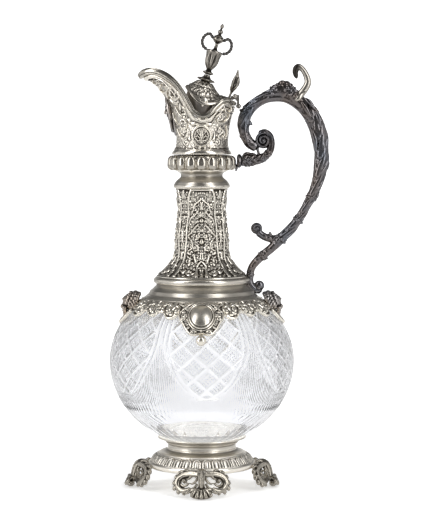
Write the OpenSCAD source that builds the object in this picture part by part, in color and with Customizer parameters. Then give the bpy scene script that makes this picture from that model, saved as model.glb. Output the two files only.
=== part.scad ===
// Claret jug: cut-glass globe in silver mounts, with a hinged lid and a scroll handle.
// +Z is up, the spout points to -X and the handle to +X. The origin is on the jug's
// axis, on the table. Millimetres.

/* [Glass] */
// Widest radius of the globe
glass_r = 78.5; // [70:0.5:96]
// Depth of the globe's lower half
glass_low = 72; // [66:0.5:88]
// Rise of the globe's upper half
glass_up = 66.5; // [62:0.5:80]
// Thickness of the blown wall
glass_wall = 4.5; // [3:0.1:6]
// Radius of the flat ground base
glass_base_r = 26.4; // [22:0.1:30]
// Outer radius of the glass neck inside the mount
glass_neck_r = 17.6; // [15:0.1:18]
// Number of cut thumb flutes round the bottom
glass_flutes = 24; // [12:2:36]

/* [Foot] */
// Height of the foot's lower edge above the table
foot_rise = 17.8; // [16:0.1:22]
// Radius of the foot's plain lower band
foot_r = 46.2; // [42:0.1:52]
// Height of the domed foot
foot_h = 16.4; // [14:0.1:20]
// Height of the cup that holds the globe
cup_h = 9.6; // [8:0.1:12]
// Radius of the cup's waist
cup_waist_r = 29.2; // [28:0.1:33]
// Number of tongues on the fluted band
foot_tongues = 32; // [16:4:48]
// Reach of a foot's toe from the axis
toe_reach = 66.3; // [60:0.1:76]
// Half width of a toe
toe_half_w = 12; // [9:0.1:14]

/* [Neck mounts] */
// Radius of the glass where the shoulder mount's edge sits
mount_edge_r = 49.5; // [44:0.1:56]
// Height of the stepped shoulder mount
mount_h = 20.8; // [18:0.1:26]
// Radius of the shoulder mount's round ring
mount_ring_r = 41; // [38:0.1:46]
// Height of the embossed neck
neck_h = 73.8; // [60:0.1:90]
// Height of the collar and hollow moulding above the neck
moulding_h = 16.1; // [13:0.1:20]
// Height of the gadrooned ring
ring_h = 12.4; // [11:0.1:15]
// Outer radius of the gadrooned ring
ring_r = 29.4; // [28:0.1:36]
// Number of gadroon lobes
ring_lobes = 18; // [12:1:24]
// Thickness of the silver sheet
silver = 1.3; // [0.9:0.1:1.6]

/* [Spout] */
// Reach of the lip from the axis
lip_reach = 51.4; // [44:0.1:62]
// Reach of the rim's back, at the hinge
back_reach = 27.5; // [26:0.1:31]
// Half width of the throat at the rim's dips
throat_half_w = 24.5; // [23:0.1:28]
// Height of the lip's crown above the gadrooned ring
spout_h = 68.6; // [60:0.1:83]
// Radius of the rolled rim
rim_r = 1.9; // [1.4:0.1:2.4]

/* [Lid] */
// Angle at which the lid stands open
lid_ajar = 17; // [0:1:40]
// Clearance between the lid and the rim
lid_gap = 1.2; // [0.9:0.1:2]
// Radius of the lid's raised dome
dome_r = 14.3; // [11:0.1:16]
// Height of the finial's urn
urn_h = 21; // [17:0.1:26]
// Radius of the hinge pin
pin_r = 1; // [0.8:0.05:1.3]
// Running clearance of the pin in its knuckles
pin_gap = 0.06; // [0.02:0.01:0.1]

/* [Handle] */
// Height of the handle's crown above the gadrooned ring's middle
handle_rise = 57; // [48:0.5:68]
// Reach of the handle's bow beyond the gadrooned ring
handle_reach = 72; // [62:0.5:86]

/* [Hidden] */
$fn = 64;

silver_tone = [0.72, 0.69, 0.63];
dark_tone = [0.3, 0.27, 0.26];
glass_tone = [0.85, 0.9, 0.92, 0.5];
cement_tone = [0.9, 0.88, 0.82];

seat = 0.3;                // gap left where a curved piece is seated on another
face = 0.04;               // gap between flat faces that meet

// Heights, from the table up
cup_z = foot_rise + foot_h;
glass_z = cup_z + cup_h - 2.8;
glass_mid = glass_z + glass_low * sqrt(1 - pow(glass_base_r / glass_r, 2));
mount_z = glass_mid + glass_up * sqrt(1 - pow(mount_edge_r / glass_r, 2));
neck_z = mount_z + mount_h;
moulding_z = neck_z + neck_h;
ring_z = moulding_z + moulding_h;
ring_mid = ring_z + 5.6;
spout_z = ring_z + ring_h;
bore_r = 15.6;             // way through the moulding and the ring
glass_neck_top = neck_z + 25;

// Hinge and lid, measured in the closed lid's place
hinge_x = back_reach + 0.5;
rim_back_z = spout_z + 0.628 * spout_h;
rim_dip_z = spout_z + 0.469 * spout_h;
hinge_z = rim_back_z + 5.9;
knuckle_r = 2.2;
crown_z = hinge_z - 3.4;
lid_half_w = throat_half_w - rim_r - lid_gap;
lid_x = 4.5;
lid_half_l = back_reach - rim_r - lid_gap - lid_x - 0.7;
finial_x = 0.5;
dome_top = crown_z + 7.6;

// Points of a curve that runs through the rows p, n steps to a row
function knot(a, b, c, d, t) = 0.5 * (2 * b + (c - a) * t + (2 * a - 5 * b + 4 * c - d) * t * t
    + (3 * b - a - 3 * c + d) * t * t * t);
function last(p) = len(p) - 1;
function curve(p, n) = concat(
    [for (i = [0:last(p) - 1], k = [0:n - 1])
        knot(p[max(i - 1, 0)], p[i], p[i + 1], p[min(i + 2, last(p))], k / n)],
    [p[last(p)]]);
function unit(v) = v / norm(v);
function flip_y(v) = [v[0], -v[1], v[2]];

// Radius of the globe, grown by g, at height z
function glass_at(z, g = 0) = let (b = (z < glass_mid ? glass_low : glass_up) + g)
    (glass_r + g) * sqrt(max(0, 1 - pow((z - glass_mid) / b, 2)));
// Arc of the upper half, grown by g, from height z0 to z1
function glass_arc(g, z0, z1, n) = [for (i = [0:n])
    let (a0 = asin((z0 - glass_mid) / (glass_up + g)), a1 = asin((z1 - glass_mid) / (glass_up + g)),
        a = a0 + (a1 - a0) * i / n)
    [(glass_r + g) * cos(a), glass_mid + (glass_up + g) * sin(a)]];
function reversed(p) = [for (i = [last(p):-1:0]) p[i]];
function lifted(p, z) = [for (q = p) [q[0], q[1] + z]];

// Closed skin over rings of equal point counts; a loop joins the last ring to the first
module skin(rings, loop = false) {
    n = len(rings);
    m = len(rings[0]);
    sides = [for (i = [0:n - (loop ? 1 : 2)], j = [0:m - 1])
        let (a = i * m + j, b = i * m + (j + 1) % m, c = ((i + 1) % n) * m)
        each [[a, b, c + (j + 1) % m], [a, c + (j + 1) % m, c + j]]];
    caps = loop ? [] : [for (j = [1:m - 2])
        each [[0, j + 1, j], [(n - 1) * m, (n - 1) * m + j, (n - 1) * m + j + 1]]];
    polyhedron([for (r = rings, p = r) p], concat(sides, caps));
}

// Tapering tube in the XZ plane; a row is [x, z, half thickness in the plane, half width in Y]
module tube(rows, steps = 3, sides = 10) {
    c = curve(rows, steps);
    skin([for (i = [0:last(c)])
        let (d = c[min(i + 1, last(c))] - c[max(i - 1, 0)], t = unit([d[0], d[1]]))
        [for (j = [0:sides - 1]) let (a = 360 * (j + 0.5) / sides)
            [c[i][0] - t[1] * c[i][2] * cos(a), c[i][3] * sin(a), c[i][1] + t[0] * c[i][2] * cos(a)]]]);
}

module revolve(p) {
    rotate_extrude() polygon(p);
}

// Turns its children to the four sides: 0 handle side, 90 back, 180 spout side, 270 front
module at_side(a) {
    rotate([0, 0, a]) children();
}

// Puts its children on the glass, grown by g, at azimuth a and height z, with +Z outwards
module on_glass(a, z, g) {
    slope = atan2(glass_at(z) / pow(glass_r, 2), (z - glass_mid) / pow(glass_up, 2));
    rotate([0, 0, a]) translate([glass_at(z), 0, z]) rotate([0, slope, 0]) translate([0, 0, g])
        rotate([0, 0, 90]) children();
}

// ---- Foot ----

// Pierced scroll foot: a spine from the dome to a shell toe, and a scroll on each side
toe_x = toe_reach - 5.5;
wing_tilt = 25;
wing_sweep = 30;
wing_base = 5;
volute_at = [18.6, 14.2];
volute_r = 4.4;

module scroll_foot() {
    difference() {
        union() {
            tube([[foot_r + seat, 20.4, 2.2, 5], [50.6, 21.5, 2.2, 4.6], [55, 18.8, 2, 3.6],
                [57.2, 14, 1.9, 3], [58.2, 9.4, 2, 3.6], [toe_x, 4.6, 2.8, 6]]);
            translate([toe_x, 0, 0]) rotate([0, 0, 90])
                tube([[-toe_half_w, 6.6, 1, 1.2], [-0.7 * toe_half_w, 5, 3.4, 3.8], [0, 3.8, 4.4, 5.4],
                    [0.7 * toe_half_w, 5, 3.4, 3.8], [toe_half_w, 6.6, 1, 1.2]], 3, 12);
            for (side = [0, 1]) mirror([0, side, 0]) foot_wing();
        }
        translate([0, 0, -20]) cube([300, 300, 40], center = true);
    }
}

module foot_wing() {
    translate([toe_x + 1, 0, wing_base]) rotate([0, 0, 90 + wing_sweep]) rotate([-wing_tilt, 0, 0])
        translate([0, 0, -wing_base]) {
            tube([[2, 20, 1.6, 2], [9, 20.6, 1.9, 2.2], [15.4, 20, 2.1, 2.2], [21, 18.8, 2.3, 2.3],
                [25.2, 15.4, 2.5, 2.4], [25.6, 10.6, 2.5, 2.4], [22.2, 6.8, 2.4, 2.3],
                [17, 5.6, 2.2, 2.2], [10.6, 6.8, 2, 2]], 3, 8);
            translate([volute_at[0], 0, volute_at[1]]) volute(volute_r, 2.6);
        }
}

module foot_front() {
    color(silver_tone) at_side(270) scroll_foot();
}

module foot_right() {
    color(silver_tone) at_side(0) scroll_foot();
}

module foot_back() {
    color(silver_tone) at_side(90) scroll_foot();
}

module foot_left() {
    color(silver_tone) at_side(180) scroll_foot();
}

// Hollow domed foot with a band of tongues
band_out = [foot_r - 2.2, 5.6];        // lower edge of the tongue band, above the foot's edge
band_in = [foot_r - 8.2, 11.5];        // upper edge
module foot_dome() {
    outer = [[foot_r - 1.6, 0], [foot_r - 0.3, 1.2], [foot_r, 2.8], [foot_r - 0.5, 4.2],
        [foot_r - 1.8, 5.1], band_out, [foot_r - 4.6, 9], band_in, [foot_r - 8.8, 11.5],
        [foot_r - 9.6, 12.6], [foot_r - 11, 13.2], [cup_waist_r + 2.8, 13.8],
        [cup_waist_r + 0.9, 14.9], [cup_waist_r, foot_h]];
    inner = [[cup_waist_r - silver, foot_h], [cup_waist_r - silver, 14.8], [cup_waist_r + 1.4, 12.4],
        [foot_r - 10.8, 11], [foot_r - 5.4, 6.6], [foot_r - 3.2, 3.6], [foot_r - 2.9, 0]];
    slope = atan2(band_in[1] - band_out[1], band_out[0] - band_in[0]);
    color(silver_tone) union() {
        translate([0, 0, foot_rise]) revolve(concat(outer, inner));
        for (i = [0:foot_tongues - 1])
            rotate([0, 0, 360 * (i + 0.5) / foot_tongues])
                translate([band_out[0] - 1.5, 0, foot_rise + band_out[1] + 1.7])
                    rotate([0, slope - 90, 0]) cylinder(r1 = 1.9, r2 = 1.4, h = 6);
    }
}

// Cup with ring mouldings that grips the bottom of the globe
module foot_cup() {
    lip = [for (f = [1, 0.66, 0.33, 0.1]) let (z = cup_z + cup_h * (0.74 + 0.26 * f))
        [glass_at(z - 0.3) + seat, z - 0.3 - cup_z]];
    flare = glass_at(cup_z + cup_h) + 1.4;
    color(silver_tone) translate([0, 0, cup_z + face]) revolve(concat(
        [[cup_waist_r - silver - 0.3, 0], [cup_waist_r, 0], [cup_waist_r - 0.3, 2.2],
        [cup_waist_r, 3.6], [cup_waist_r + 1.3, 4.2], [cup_waist_r + 1.9, 5], [cup_waist_r + 1.1, 5.8],
        [cup_waist_r + 2, 6.6], [cup_waist_r + 4, 7.4], [flare - 0.5, 8.3], [flare, 9], [flare - 0.3, cup_h]],
        lip, [[cup_waist_r - silver - 0.3, cup_h * 0.72]]));
}

// Bed of cement between the cup and the ground base of the globe
module foot_cement() {
    color(cement_tone) translate([0, 0, glass_z - 6 - seat])
        cylinder(r = cup_waist_r - silver - 0.3 - seat, h = 6);
}

// ---- Globe ----

function globe_outer() = concat(
    [[0, glass_z], [glass_base_r - 1, glass_z]],
    [for (i = [0:11]) let (a0 = -acos(glass_base_r / glass_r), a = a0 * (1 - i / 12))
        [glass_r * cos(a), glass_mid + glass_low * sin(a)]],
    glass_arc(0, glass_mid, glass_mid + 0.943 * glass_up, 12),
    lifted([[glass_neck_r + 4.6, glass_up - 1.9], [glass_neck_r + 1.7, glass_up + 0.6],
        [glass_neck_r + 0.4, glass_up + 4], [glass_neck_r, glass_up + 8]], glass_mid),
    [[glass_neck_r, glass_neck_top], [glass_neck_r - glass_wall + 1, glass_neck_top]]);
function globe_inner() =
    let (r = glass_r - glass_wall, up = glass_up - glass_wall + 0.6, low = glass_low - 10.2)
    concat(
        [[0, glass_mid - low]],
        [for (i = [1:11]) let (a = -90 + 90 * i / 12) [r * cos(a), glass_mid + low * sin(a)]],
        [for (i = [0:11]) let (a = 73.5 * i / 11) [r * cos(a), glass_mid + up * sin(a)]],
        lifted([[glass_neck_r - 1.1, up + 1.2], [glass_neck_r - 3.1, up + 4.6],
            [glass_neck_r - glass_wall + 1, up + 10]], glass_mid));

module glass_body() {
    flute_z = glass_z + 13;
    color(glass_tone) difference() {
        revolve(concat(globe_outer(), reversed(globe_inner())));
        for (i = [0:glass_flutes - 1])
            rotate([0, 0, 360 * i / glass_flutes])
                translate([glass_at(flute_z) + 6, 0, flute_z - 2]) rotate([0, 42, 0])
                    cylinder(r = 7.2, h = 12, center = true);
    }
}

// ---- Shoulder ----

// Plaster ring between the glass neck and the foot of the silver neck
module shoulder_cement() {
    rows = [for (q = neck_rows) if (q[0] > 2 && q[0] < 22) [q[1] - silver - 0.9, neck_z + q[0] * neck_h / 73.8]];
    color(cement_tone) revolve(concat([[glass_neck_r + seat, rows[0][1]]], rows,
        [[glass_neck_r + seat, rows[last(rows)][1]]]));
}

// Cast border that lies on the shoulder of the globe, with lobed lower edge
skirt_top = mount_z - 0.4;
skirt_edge = glass_mid + 44;           // lower edge between the lobes
skirt_low = glass_mid + 29.2;          // lowest point of the lobes
skirt_t = 1.5;
lobe_rows = [[0, 40, 15.5], [24, 45, 7.6], [42, 45.5, 6.4], [60, 45, 7.6], [90, 42, 16]];

module shoulder_skirt() {
    color(silver_tone) intersection() {
        revolve(concat(reversed(glass_arc(seat, skirt_low, skirt_top, 8)),
            glass_arc(seat + skirt_t, skirt_low, skirt_top, 8)));
        union() {
            translate([0, 0, skirt_edge]) cylinder(r = glass_r + 20, h = 60);
            for (side = [90, 270], row = lobe_rows, s = row[0] % 90 == 0 ? [1] : [-1, 1])
                on_glass(side + s * row[0], glass_mid + row[1], 0) cylinder(r = row[2], h = 20, center = true);
        }
    }
}

// Stepped shoulder mount that closes the skirt and carries the neck
module shoulder_mount() {
    edge = mount_edge_r + 1.4;
    r = mount_ring_r;
    under = [for (z = [mount_z, mount_z + 1.6]) [glass_at(z) + 0.5, z - mount_z]];
    color(silver_tone) translate([0, 0, mount_z]) revolve(concat(
        [[edge - 0.2, 0], [edge, 1], [edge - 1.4, 2], [edge - 4.4, 4.8], [r + 2.8, 8.3], [r - 0.3, 10.9],
        [r - 2.4, 13.2], [r - 2.1, 14], [r - 0.4, 15], [r, 16.2], [r, 17.6], [r - 0.8, 19],
        [r - 2.2, 19.8], [r - 2.6, mount_h], [r - 4.2, mount_h], [r - 3.6, 17.8], [r - 3.8, 15.4],
        [r - 4.4, 13], [r - 2.6, 11], [r + 0.6, 8.2], [r + 3.6, 5]], reversed(under)));
}

// Dished cartouche with a raised oval boss, soldered over the skirt
cartouche_z = glass_mid + 41.6;
dish_r = 80;
module cartouche() {
    on_glass(0, cartouche_z, skirt_t + 4 * seat) difference() {
        union() {
            revolve([[0, -3], [17.4, -3], [18.2, -1.6], [17.6, -0.2], [15.4, 1.2], [13.6, 1], [12.8, 0.6],
                [12, 2], [8, 3], [0, 3.6]]);
            for (a = [30:30:330], r = (a % 90 == 0 ? 0 : 2.6)) if (r > 0)
                rotate([0, 0, a]) translate([17, 0, -3]) cylinder(r = r, h = 2.8);
        }
        translate([0, 0, -dish_r - 0.3]) sphere(r = dish_r, $fn = 96);
    }
}

module cartouche_front() {
    color(silver_tone) at_side(270) cartouche();
}

module cartouche_back() {
    color(silver_tone) at_side(90) cartouche();
}

// Bead hanging under a cartouche, held by a short stalk
module pendant() {
    color(silver_tone) on_glass(0, skirt_low - 6.3, 4.8 + seat) {
        sphere(r = 4.5);
        translate([0, 0, -1]) rotate([-90, 0, 0]) cylinder(r = 1.4, h = 5.2);
    }
}

module pendant_front() {
    at_side(270) pendant();
}

module pendant_back() {
    at_side(90) pendant();
}

// Cast head with curls on the shoulder
module mask_head() {
    color(dark_tone) difference() {
        on_glass(0, glass_mid + 48, skirt_t) union() {
            translate([0, 1, 3.4]) sphere(r = 8.2);
            translate([0, -8, 5.4]) sphere(r = 4.2);
            translate([0, -1.5, 10.6]) sphere(r = 2);
            for (a = [0:36:180]) translate([9 * cos(a), 2 + 8.4 * sin(a), 3.4]) sphere(r = 3.4);
            for (x = [-7, 7]) translate([x, -6, 2.6]) sphere(r = 3);
        }
        revolve(concat([[0, skirt_low]], glass_arc(skirt_t + 2 * seat, skirt_low - 8, mount_z + 3, 8), [[0, mount_z + 3]]));
        translate([0, 0, mount_z - 1]) cylinder(r = mount_edge_r + 2, h = 40);
    }
}

module mask_spout_side() {
    at_side(180) mask_head();
}

module mask_handle_side() {
    at_side(0) mask_head();
}

// ---- Neck ----

// Outer radius of the neck against height above its foot, drawn for a neck 73.8 high
neck_rows = [[0, 38.4], [2.8, 34.2], [5.4, 31.4], [7.9, 29.1], [10.5, 27.2], [13, 25.2], [15.6, 24],
    [18.1, 23.3], [23.2, 22.8], [35.8, 22.3], [43.8, 21.2], [56.4, 19.9], [63.8, 20.8], [71.8, 21.5], [73.8, 22.2]];
module neck_sleeve() {
    flare = mount_ring_r - 41;
    outer = [for (q = neck_rows) [q[1] + flare * max(0, 1 - q[0] / 15), q[0] * neck_h / 73.8]];
    inner = [for (q = outer) [q[0] - silver - (q[1] < 10 ? 0.5 : 0), q[1]]];
    color(silver_tone) translate([0, 0, neck_z + face]) revolve(concat(outer, reversed(inner)));
}

// Collar and hollow moulding between the neck and the gadrooned ring
module neck_moulding() {
    z = [for (q = [0, 2.9, 5.3, 7.8, 10.4, 13, 16]) q * moulding_h / 16.1];
    color(silver_tone) translate([0, 0, moulding_z + 2 * face]) revolve([[bore_r, 0], [22.6, 0], [23.9, z[1] * 0.5],
        [23.9, z[1]], [23.3, z[2]], [20.7, z[3]], [18, z[4] - 0.8], [17.5, z[4] + 0.6], [18.9, z[5]],
        [21.4, z[6] - 1.2], [22, z[6]], [bore_r, z[6]]]);
}

// Ring of rounded gadroon lobes
module gadroon_ring() {
    lobe_r = ring_h * 0.45;
    color(silver_tone) union() {
        translate([0, 0, ring_z + 3 * face]) revolve([[bore_r, 0], [22, 0], [ring_r - 5, 1.4], [ring_r - 3.2, 3.4],
            [ring_r - 3, 5.6], [ring_r - 3.4, 8.4], [ring_r - 4, 10.4], [ring_r - 4.6, ring_h - 0.2], [bore_r, ring_h - 0.2]]);
        for (i = [0:ring_lobes - 1])
            rotate([0, 0, 360 * (i + 0.5) / ring_lobes]) translate([ring_r - lobe_r, 0, ring_mid]) sphere(r = lobe_r);
    }
}

// ---- Spout ----

// Half of the rim from the hinge to the lip: shares of the reach, of the throat's half
// width and of the spout's height
rim_rows = [[1, 0, 0.628], [0.927, 0.388, 0.636], [0.7, 0.714, 0.659], [0.436, 0.898, 0.585], [0.218, 0.98, 0.493],
    [0.018, 1, 0.469], [-0.107, 0.963, 0.513], [-0.195, 0.906, 0.606], [-0.284, 0.841, 0.726], [-0.405, 0.751, 0.843],
    [-0.545, 0.645, 0.924], [-0.69, 0.531, 0.98], [-0.84, 0.392, 1], [-0.953, 0.229, 0.98], [-1, 0, 0.95]];
rim_half = [for (q = curve(rim_rows, 2))
    [q[0] * (q[0] > 0 ? back_reach : lip_reach), q[1] * throat_half_w, spout_z + q[2] * spout_h]];
rim_line = concat(rim_half, [for (i = [last(rim_half) - 1:-1:1]) flip_y(rim_half[i])]);

// Meridian of the spout under rim point p: foot flange, waist and flare, at share t of the flare
waist_r = 22.2;
function bezier(a, b, c, d, t) = a * pow(1 - t, 3) + 3 * b * pow(1 - t, 2) * t + 3 * c * (1 - t) * t * t + d * t * t * t;
function flat(p) = [p[0], p[1], 0];
function spout_flare(p, t) =
    let (u = unit(flat(p)), reach = norm(flat(p)), pull = min(0.93 * reach, 27),
        drop = 10 - 6 * min(1, max(0, (reach - 28) / 23)))
    bezier(u * waist_r + [0, 0, spout_z + 5.4], u * (waist_r - 2) + [0, 0, spout_z + 18.6],
        u * pull + [0, 0, p[2] - drop], p, t);
function rim_way(i) = let (n = len(rim_line)) unit(rim_line[(i + 1) % n] - rim_line[(i + n - 1) % n]);
// Share of the flare at which the sheet stops, clear of the rolled rim
function spout_end(i) = let (edge = rim_line[i] - spout_flare(rim_line[i], 0.9))
    1 - 0.1 * (rim_r + seat + 0.2) / max(0.4, norm(cross(unit(edge), rim_way(i)))) / norm(edge);
function spout_line(i) = let (p = rim_line[i]) concat(
    [for (q = [[2.6, 0.3], [2.2, 2.2], [0.6, 4.2]]) unit(flat(p)) * (waist_r + q[0]) + [0, 0, spout_z + q[1]]],
    [for (k = [0:8]) spout_flare(p, spout_end(i) * k / 8)]);

// Shell of a given wall about a closed grid of lines that run from the foot to the rim
module shell_grid(lines, wall) {
    n = len(lines);
    m = len(lines[0]);
    side = [for (i = [0:n - 1]) [for (k = [0:m - 1])
        let (along = lines[i][min(k + 1, m - 1)] - lines[i][max(k - 1, 0)],
            round = lines[(i + 1) % n][k] - lines[(i + n - 1) % n][k])
        unit(cross(round, along)) * wall / 2]];
    skin([for (i = [0:n - 1]) concat([for (k = [0:m - 1]) lines[i][k] + side[i][k]],
        [for (k = [m - 1:-1:0]) lines[i][k] - side[i][k]])], true);
}

module spout_body() {
    color(silver_tone) shell_grid([for (i = [0:last(rim_line)]) spout_line(i)], silver);
}

// Rolled rim that follows the lip, the dips and the hinge
module spout_rim() {
    n = len(rim_line);
    color(silver_tone) skin([for (i = [0:n - 1])
        let (t = rim_way(i), out = unit(cross(t, [0, 0, 1])), up = cross(out, t))
        [for (j = [0:7]) rim_line[i] + rim_r * (cos(45 * j) * out + sin(45 * j) * up)]], true);
}

// Mask under the lip, following the spout's front
module spout_mask() {
    tip = [-lip_reach, 0.001, spout_z + 0.95 * spout_h];
    front = [for (t = [0.3, 0.4, 0.5, 0.6, 0.7]) spout_flare(tip, t)];
    t_rows = [0.9, 1.9, 2.5, 2.3, 1.2];
    w_rows = [2, 4.5, 6.5, 6.5, 4];
    color(dark_tone) tube([for (i = [0:4])
        [front[i][0] - silver / 2 - seat - t_rows[i] - 0.3, front[i][2] - 0.2 * i, t_rows[i], w_rows[i]]], 3, 10);
}

// Oval portrait frame on the side of the spout
medallion_r = 9.3;
medallion_z = spout_z + 16;
module medallion() {
    inner = waist_r + silver / 2 + 1;
    color(silver_tone) intersection() {
        translate([0, 0, medallion_z - 12]) difference() {
            cylinder(r = inner + 2, h = 24);
            translate([0, 0, -1]) cylinder(r = inner, h = 26);
        }
        translate([inner, 0, medallion_z]) rotate([0, 90, 0]) difference() {
            translate([0, 0, -6]) cylinder(r = medallion_r, h = 12);
            translate([0, 0, 0.2]) cylinder(r1 = medallion_r - 3.4, r2 = medallion_r - 1.2, h = 4);
        }
    }
}

module medallion_front() {
    at_side(270) medallion();
}

module medallion_back() {
    at_side(90) medallion();
}

// ---- Handle ----

// Rows are [x beyond the ring or mount, height above the ring's middle, half thickness, half width],
// drawn for the drop, the reach and the rise named here and stretched to the jug's own
drawn_drop = 108;
drawn_reach = 72;
drawn_rise = 57;
seat_drop = ring_mid - mount_z - 7.6;
function handle_x(dx, z) =
    let (share = min(1, max(0, -z / drawn_drop)))
    ring_r + (mount_ring_r - ring_r) * share + dx * (1 + (handle_reach / drawn_reach - 1) * max(0, sin(180 * share)));
function handle_z(z) = ring_mid + (z < 0 ? z * seat_drop / drawn_drop : z * handle_rise / drawn_rise);
function handle_rows(p) = [for (q = p) [handle_x(q[0], q[1]), handle_z(q[1]), q[2], q[3]]];

bow_rows = [[8.6, -108, 2.2, 2.2], [4, -106.6, 2.6, 2.8], [0.8, -101.4, 2.7, 3], [1.3, -95.6, 2.7, 3],
    [4, -87.8, 2.8, 3.2], [12.2, -79.4, 3.2, 3.6], [22, -72, 3.4, 3.8], [29.4, -65.4, 3.9, 4.2], [36.8, -58.6, 4, 4.2],
    [44, -51.6, 4, 4.2], [51.8, -41.6, 4, 4.4], [58.6, -31.4, 4.3, 4.8], [64.6, -21.2, 5, 5.4],
    [68.6, -11, 5.6, 5.8], [71.6, -0.6, 6.8, 6.4], [71.9, 9.6, 6.8, 6.6], [70.7, 19.6, 8, 7],
    [68, 29.8, 8, 7], [62.8, 40, 7.6, 6.8], [55, 49, 6.8, 6.2], [47, 55.6, 7.2, 6], [38.8, 60.4, 8.4, 5.6],
    [29.6, 57.6, 5, 4.8], [19.4, 52.4, 4.6, 4.4], [12, 46.6, 4.6, 4.2], [7.4, 39.9, 4.8, 4.2], [6, 33.1, 4.7, 4.2],
    [6.4, 26.2, 3.9, 4], [8.8, 20.2, 3.8, 4], [12.4, 15.8, 3.8, 3.8], [16.6, 13.2, 3.4, 3.4]];
arm_rows = [[4.6, 1.6, 4.6, 4.8], [8.4, 1.7, 5.6, 5.2], [13.6, 2.1, 5, 4.8], [21.6, 3.8, 4.2, 4.2], [27.8, 9.3, 3.7, 3.8],
    [29.8, 16.4, 3.2, 3.6], [28.4, 23, 3, 3.4], [24, 26.4, 2.7, 3.2], [19.2, 25.4, 2.2, 3]];
link_rows = [[17.6, 12.6, 1.3, 1.5], [18.4, 9.4, 1.2, 1.3], [19.2, 6, 1.4, 1.6]];
branch_rows = [[33, -61, 2.4, 2.6], [27.6, -63.4, 2.4, 2.8], [22.6, -64, 2.5, 2.8], [17, -62.2, 2.5, 2.8],
    [12.2, -58.6, 2.5, 2.8]];
swan_rows = [[50.6, 52.6, 2.9, 2.8], [53.4, 57, 2.9, 2.8], [57.4, 61.8, 2.8, 2.7], [60, 66.6, 2.7, 2.6],
    [59.9, 70.6, 2.5, 2.4], [57.9, 75.6, 2.2, 2.2], [55.2, 79.3, 2.1, 2.1], [52.3, 81, 2.3, 2.2],
    [50.2, 79.2, 2.4, 2.2], [49.7, 75.8, 2.1, 2], [50.4, 72.8, 1.4, 1.5], [50.8, 71.4, 0.7, 0.8]];
arm_volute = [22.6, 18.9];
arm_volute_r = 7.4;
branch_volute = [11.2, -55.2];
branch_volute_r = 4.7;

// Round boss with a stepped face, across the handle's plane
module volute(r, w) {
    rotate([90, 0, 0]) revolve([[0, -w], [0.35 * r, -w], [0.5 * r, -0.8 * w], [0.8 * r, -0.8 * w], [r, -0.5 * w],
        [r, 0.5 * w], [0.8 * r, 0.8 * w], [0.5 * r, 0.8 * w], [0.35 * r, w], [0, w]]);
}

// Long S-shaped bow with a branch scroll, fitted round the shoulder mount's ring
module handle_bow() {
    color(dark_tone) difference() {
        union() {
            tube(handle_rows(bow_rows));
            tube(handle_rows(branch_rows), 3, 8);
            translate([handle_x(branch_volute[0], branch_volute[1]), 0, handle_z(branch_volute[1])])
                volute(branch_volute_r, 3.2);
            translate([handle_x(8.4, -103.6), 0, handle_z(-103.6)]) sphere(r = 3.9);
        }
        translate([0, 0, mount_z + 10.4]) cylinder(r = mount_ring_r + 3 * seat, h = mount_h - 10.1);
        translate([0, 0, mount_z + 4.9]) cylinder(r1 = mount_ring_r + 7, r2 = mount_ring_r + 3 * seat, h = 6.4);
        translate([handle_x(arm_volute[0], arm_volute[1]), 0, handle_z(arm_volute[1])]) rotate([90, 0, 0])
            cylinder(r = arm_volute_r + seat, h = 20, center = true);
    }
}

// Upper arm that leaves the gadrooned ring and curls up into a volute
module handle_arm() {
    color(dark_tone) union() {
        tube(handle_rows(arm_rows));
        tube(handle_rows(link_rows), 3, 8);
        translate([handle_x(arm_volute[0], arm_volute[1]), 0, handle_z(arm_volute[1])]) volute(arm_volute_r, 4.2);
    }
}

// Swan's neck and head rising from the crown of the bow
module handle_swan() {
    grown = [for (q = bow_rows) q + [0, 0, seat, seat]];
    color(silver_tone) difference() {
        tube(handle_rows(swan_rows), 3, 8);
        tube(handle_rows([for (i = [18:22]) grown[i]]));
    }
}

// Ringed socket that joins the arm to the gadrooned ring
module handle_socket() {
    end = handle_x(arm_rows[0][0], arm_rows[0][1]) - seat;
    start = ring_r + seat;
    middle = (start + end) / 2;
    color(dark_tone) translate([0, 0, handle_z(arm_rows[0][1])]) rotate([0, 90, 0])
        revolve([[0, start], [4, start], [5.4, start + 0.6], [6, middle], [5.4, end - 0.6], [4.2, end], [0, end]]);
}

// ---- Hinge ----

knuckle_half = 3;          // half length of the lid's knuckle
bracket_half = 6.6;        // half length over the fixed knuckles
module along_hinge(z0, z1, r) {
    translate([hinge_x, z0, hinge_z]) rotate([-90, 0, 0]) cylinder(r = r, h = z1 - z0);
}

// Bracket behind the rim with two fixed knuckles
module hinge_bracket() {
    back = back_reach + rim_r + seat;
    color(silver_tone) difference() {
        union() {
            for (s = [0, 1]) mirror([0, s, 0]) {
                along_hinge(knuckle_half + 0.2, bracket_half, knuckle_r);
                translate([hinge_x + 0.6, knuckle_half + 0.2, hinge_z - 1.5 * knuckle_r])
                    cube([back + 1.4 - hinge_x, bracket_half - knuckle_half - 0.2, knuckle_r * 2.1]);
                translate([back + 1.4, 3.8, hinge_z - 8]) sphere(r = 2.1);
            }
            translate([back, -bracket_half, hinge_z - 9.4]) cube([2, 2 * bracket_half, 9.2 - 1.2 * knuckle_r]);
        }
        along_hinge(-20, 20, pin_r + pin_gap);
    }
}

// Pin with a ball at each end
module hinge_pin() {
    color(silver_tone) union() {
        along_hinge(-bracket_half - 1, bracket_half + 1, pin_r);
        for (s = [-1, 1]) translate([hinge_x, s * (bracket_half + 2.3), hinge_z]) sphere(r = 2.2);
    }
}

// ---- Lid, drawn closed and turned to where it stands open ----

module opened() {
    translate([hinge_x, 0, hinge_z]) rotate([0, lid_ajar, 0]) translate([-hinge_x, 0, -hinge_z]) children();
}

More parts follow.
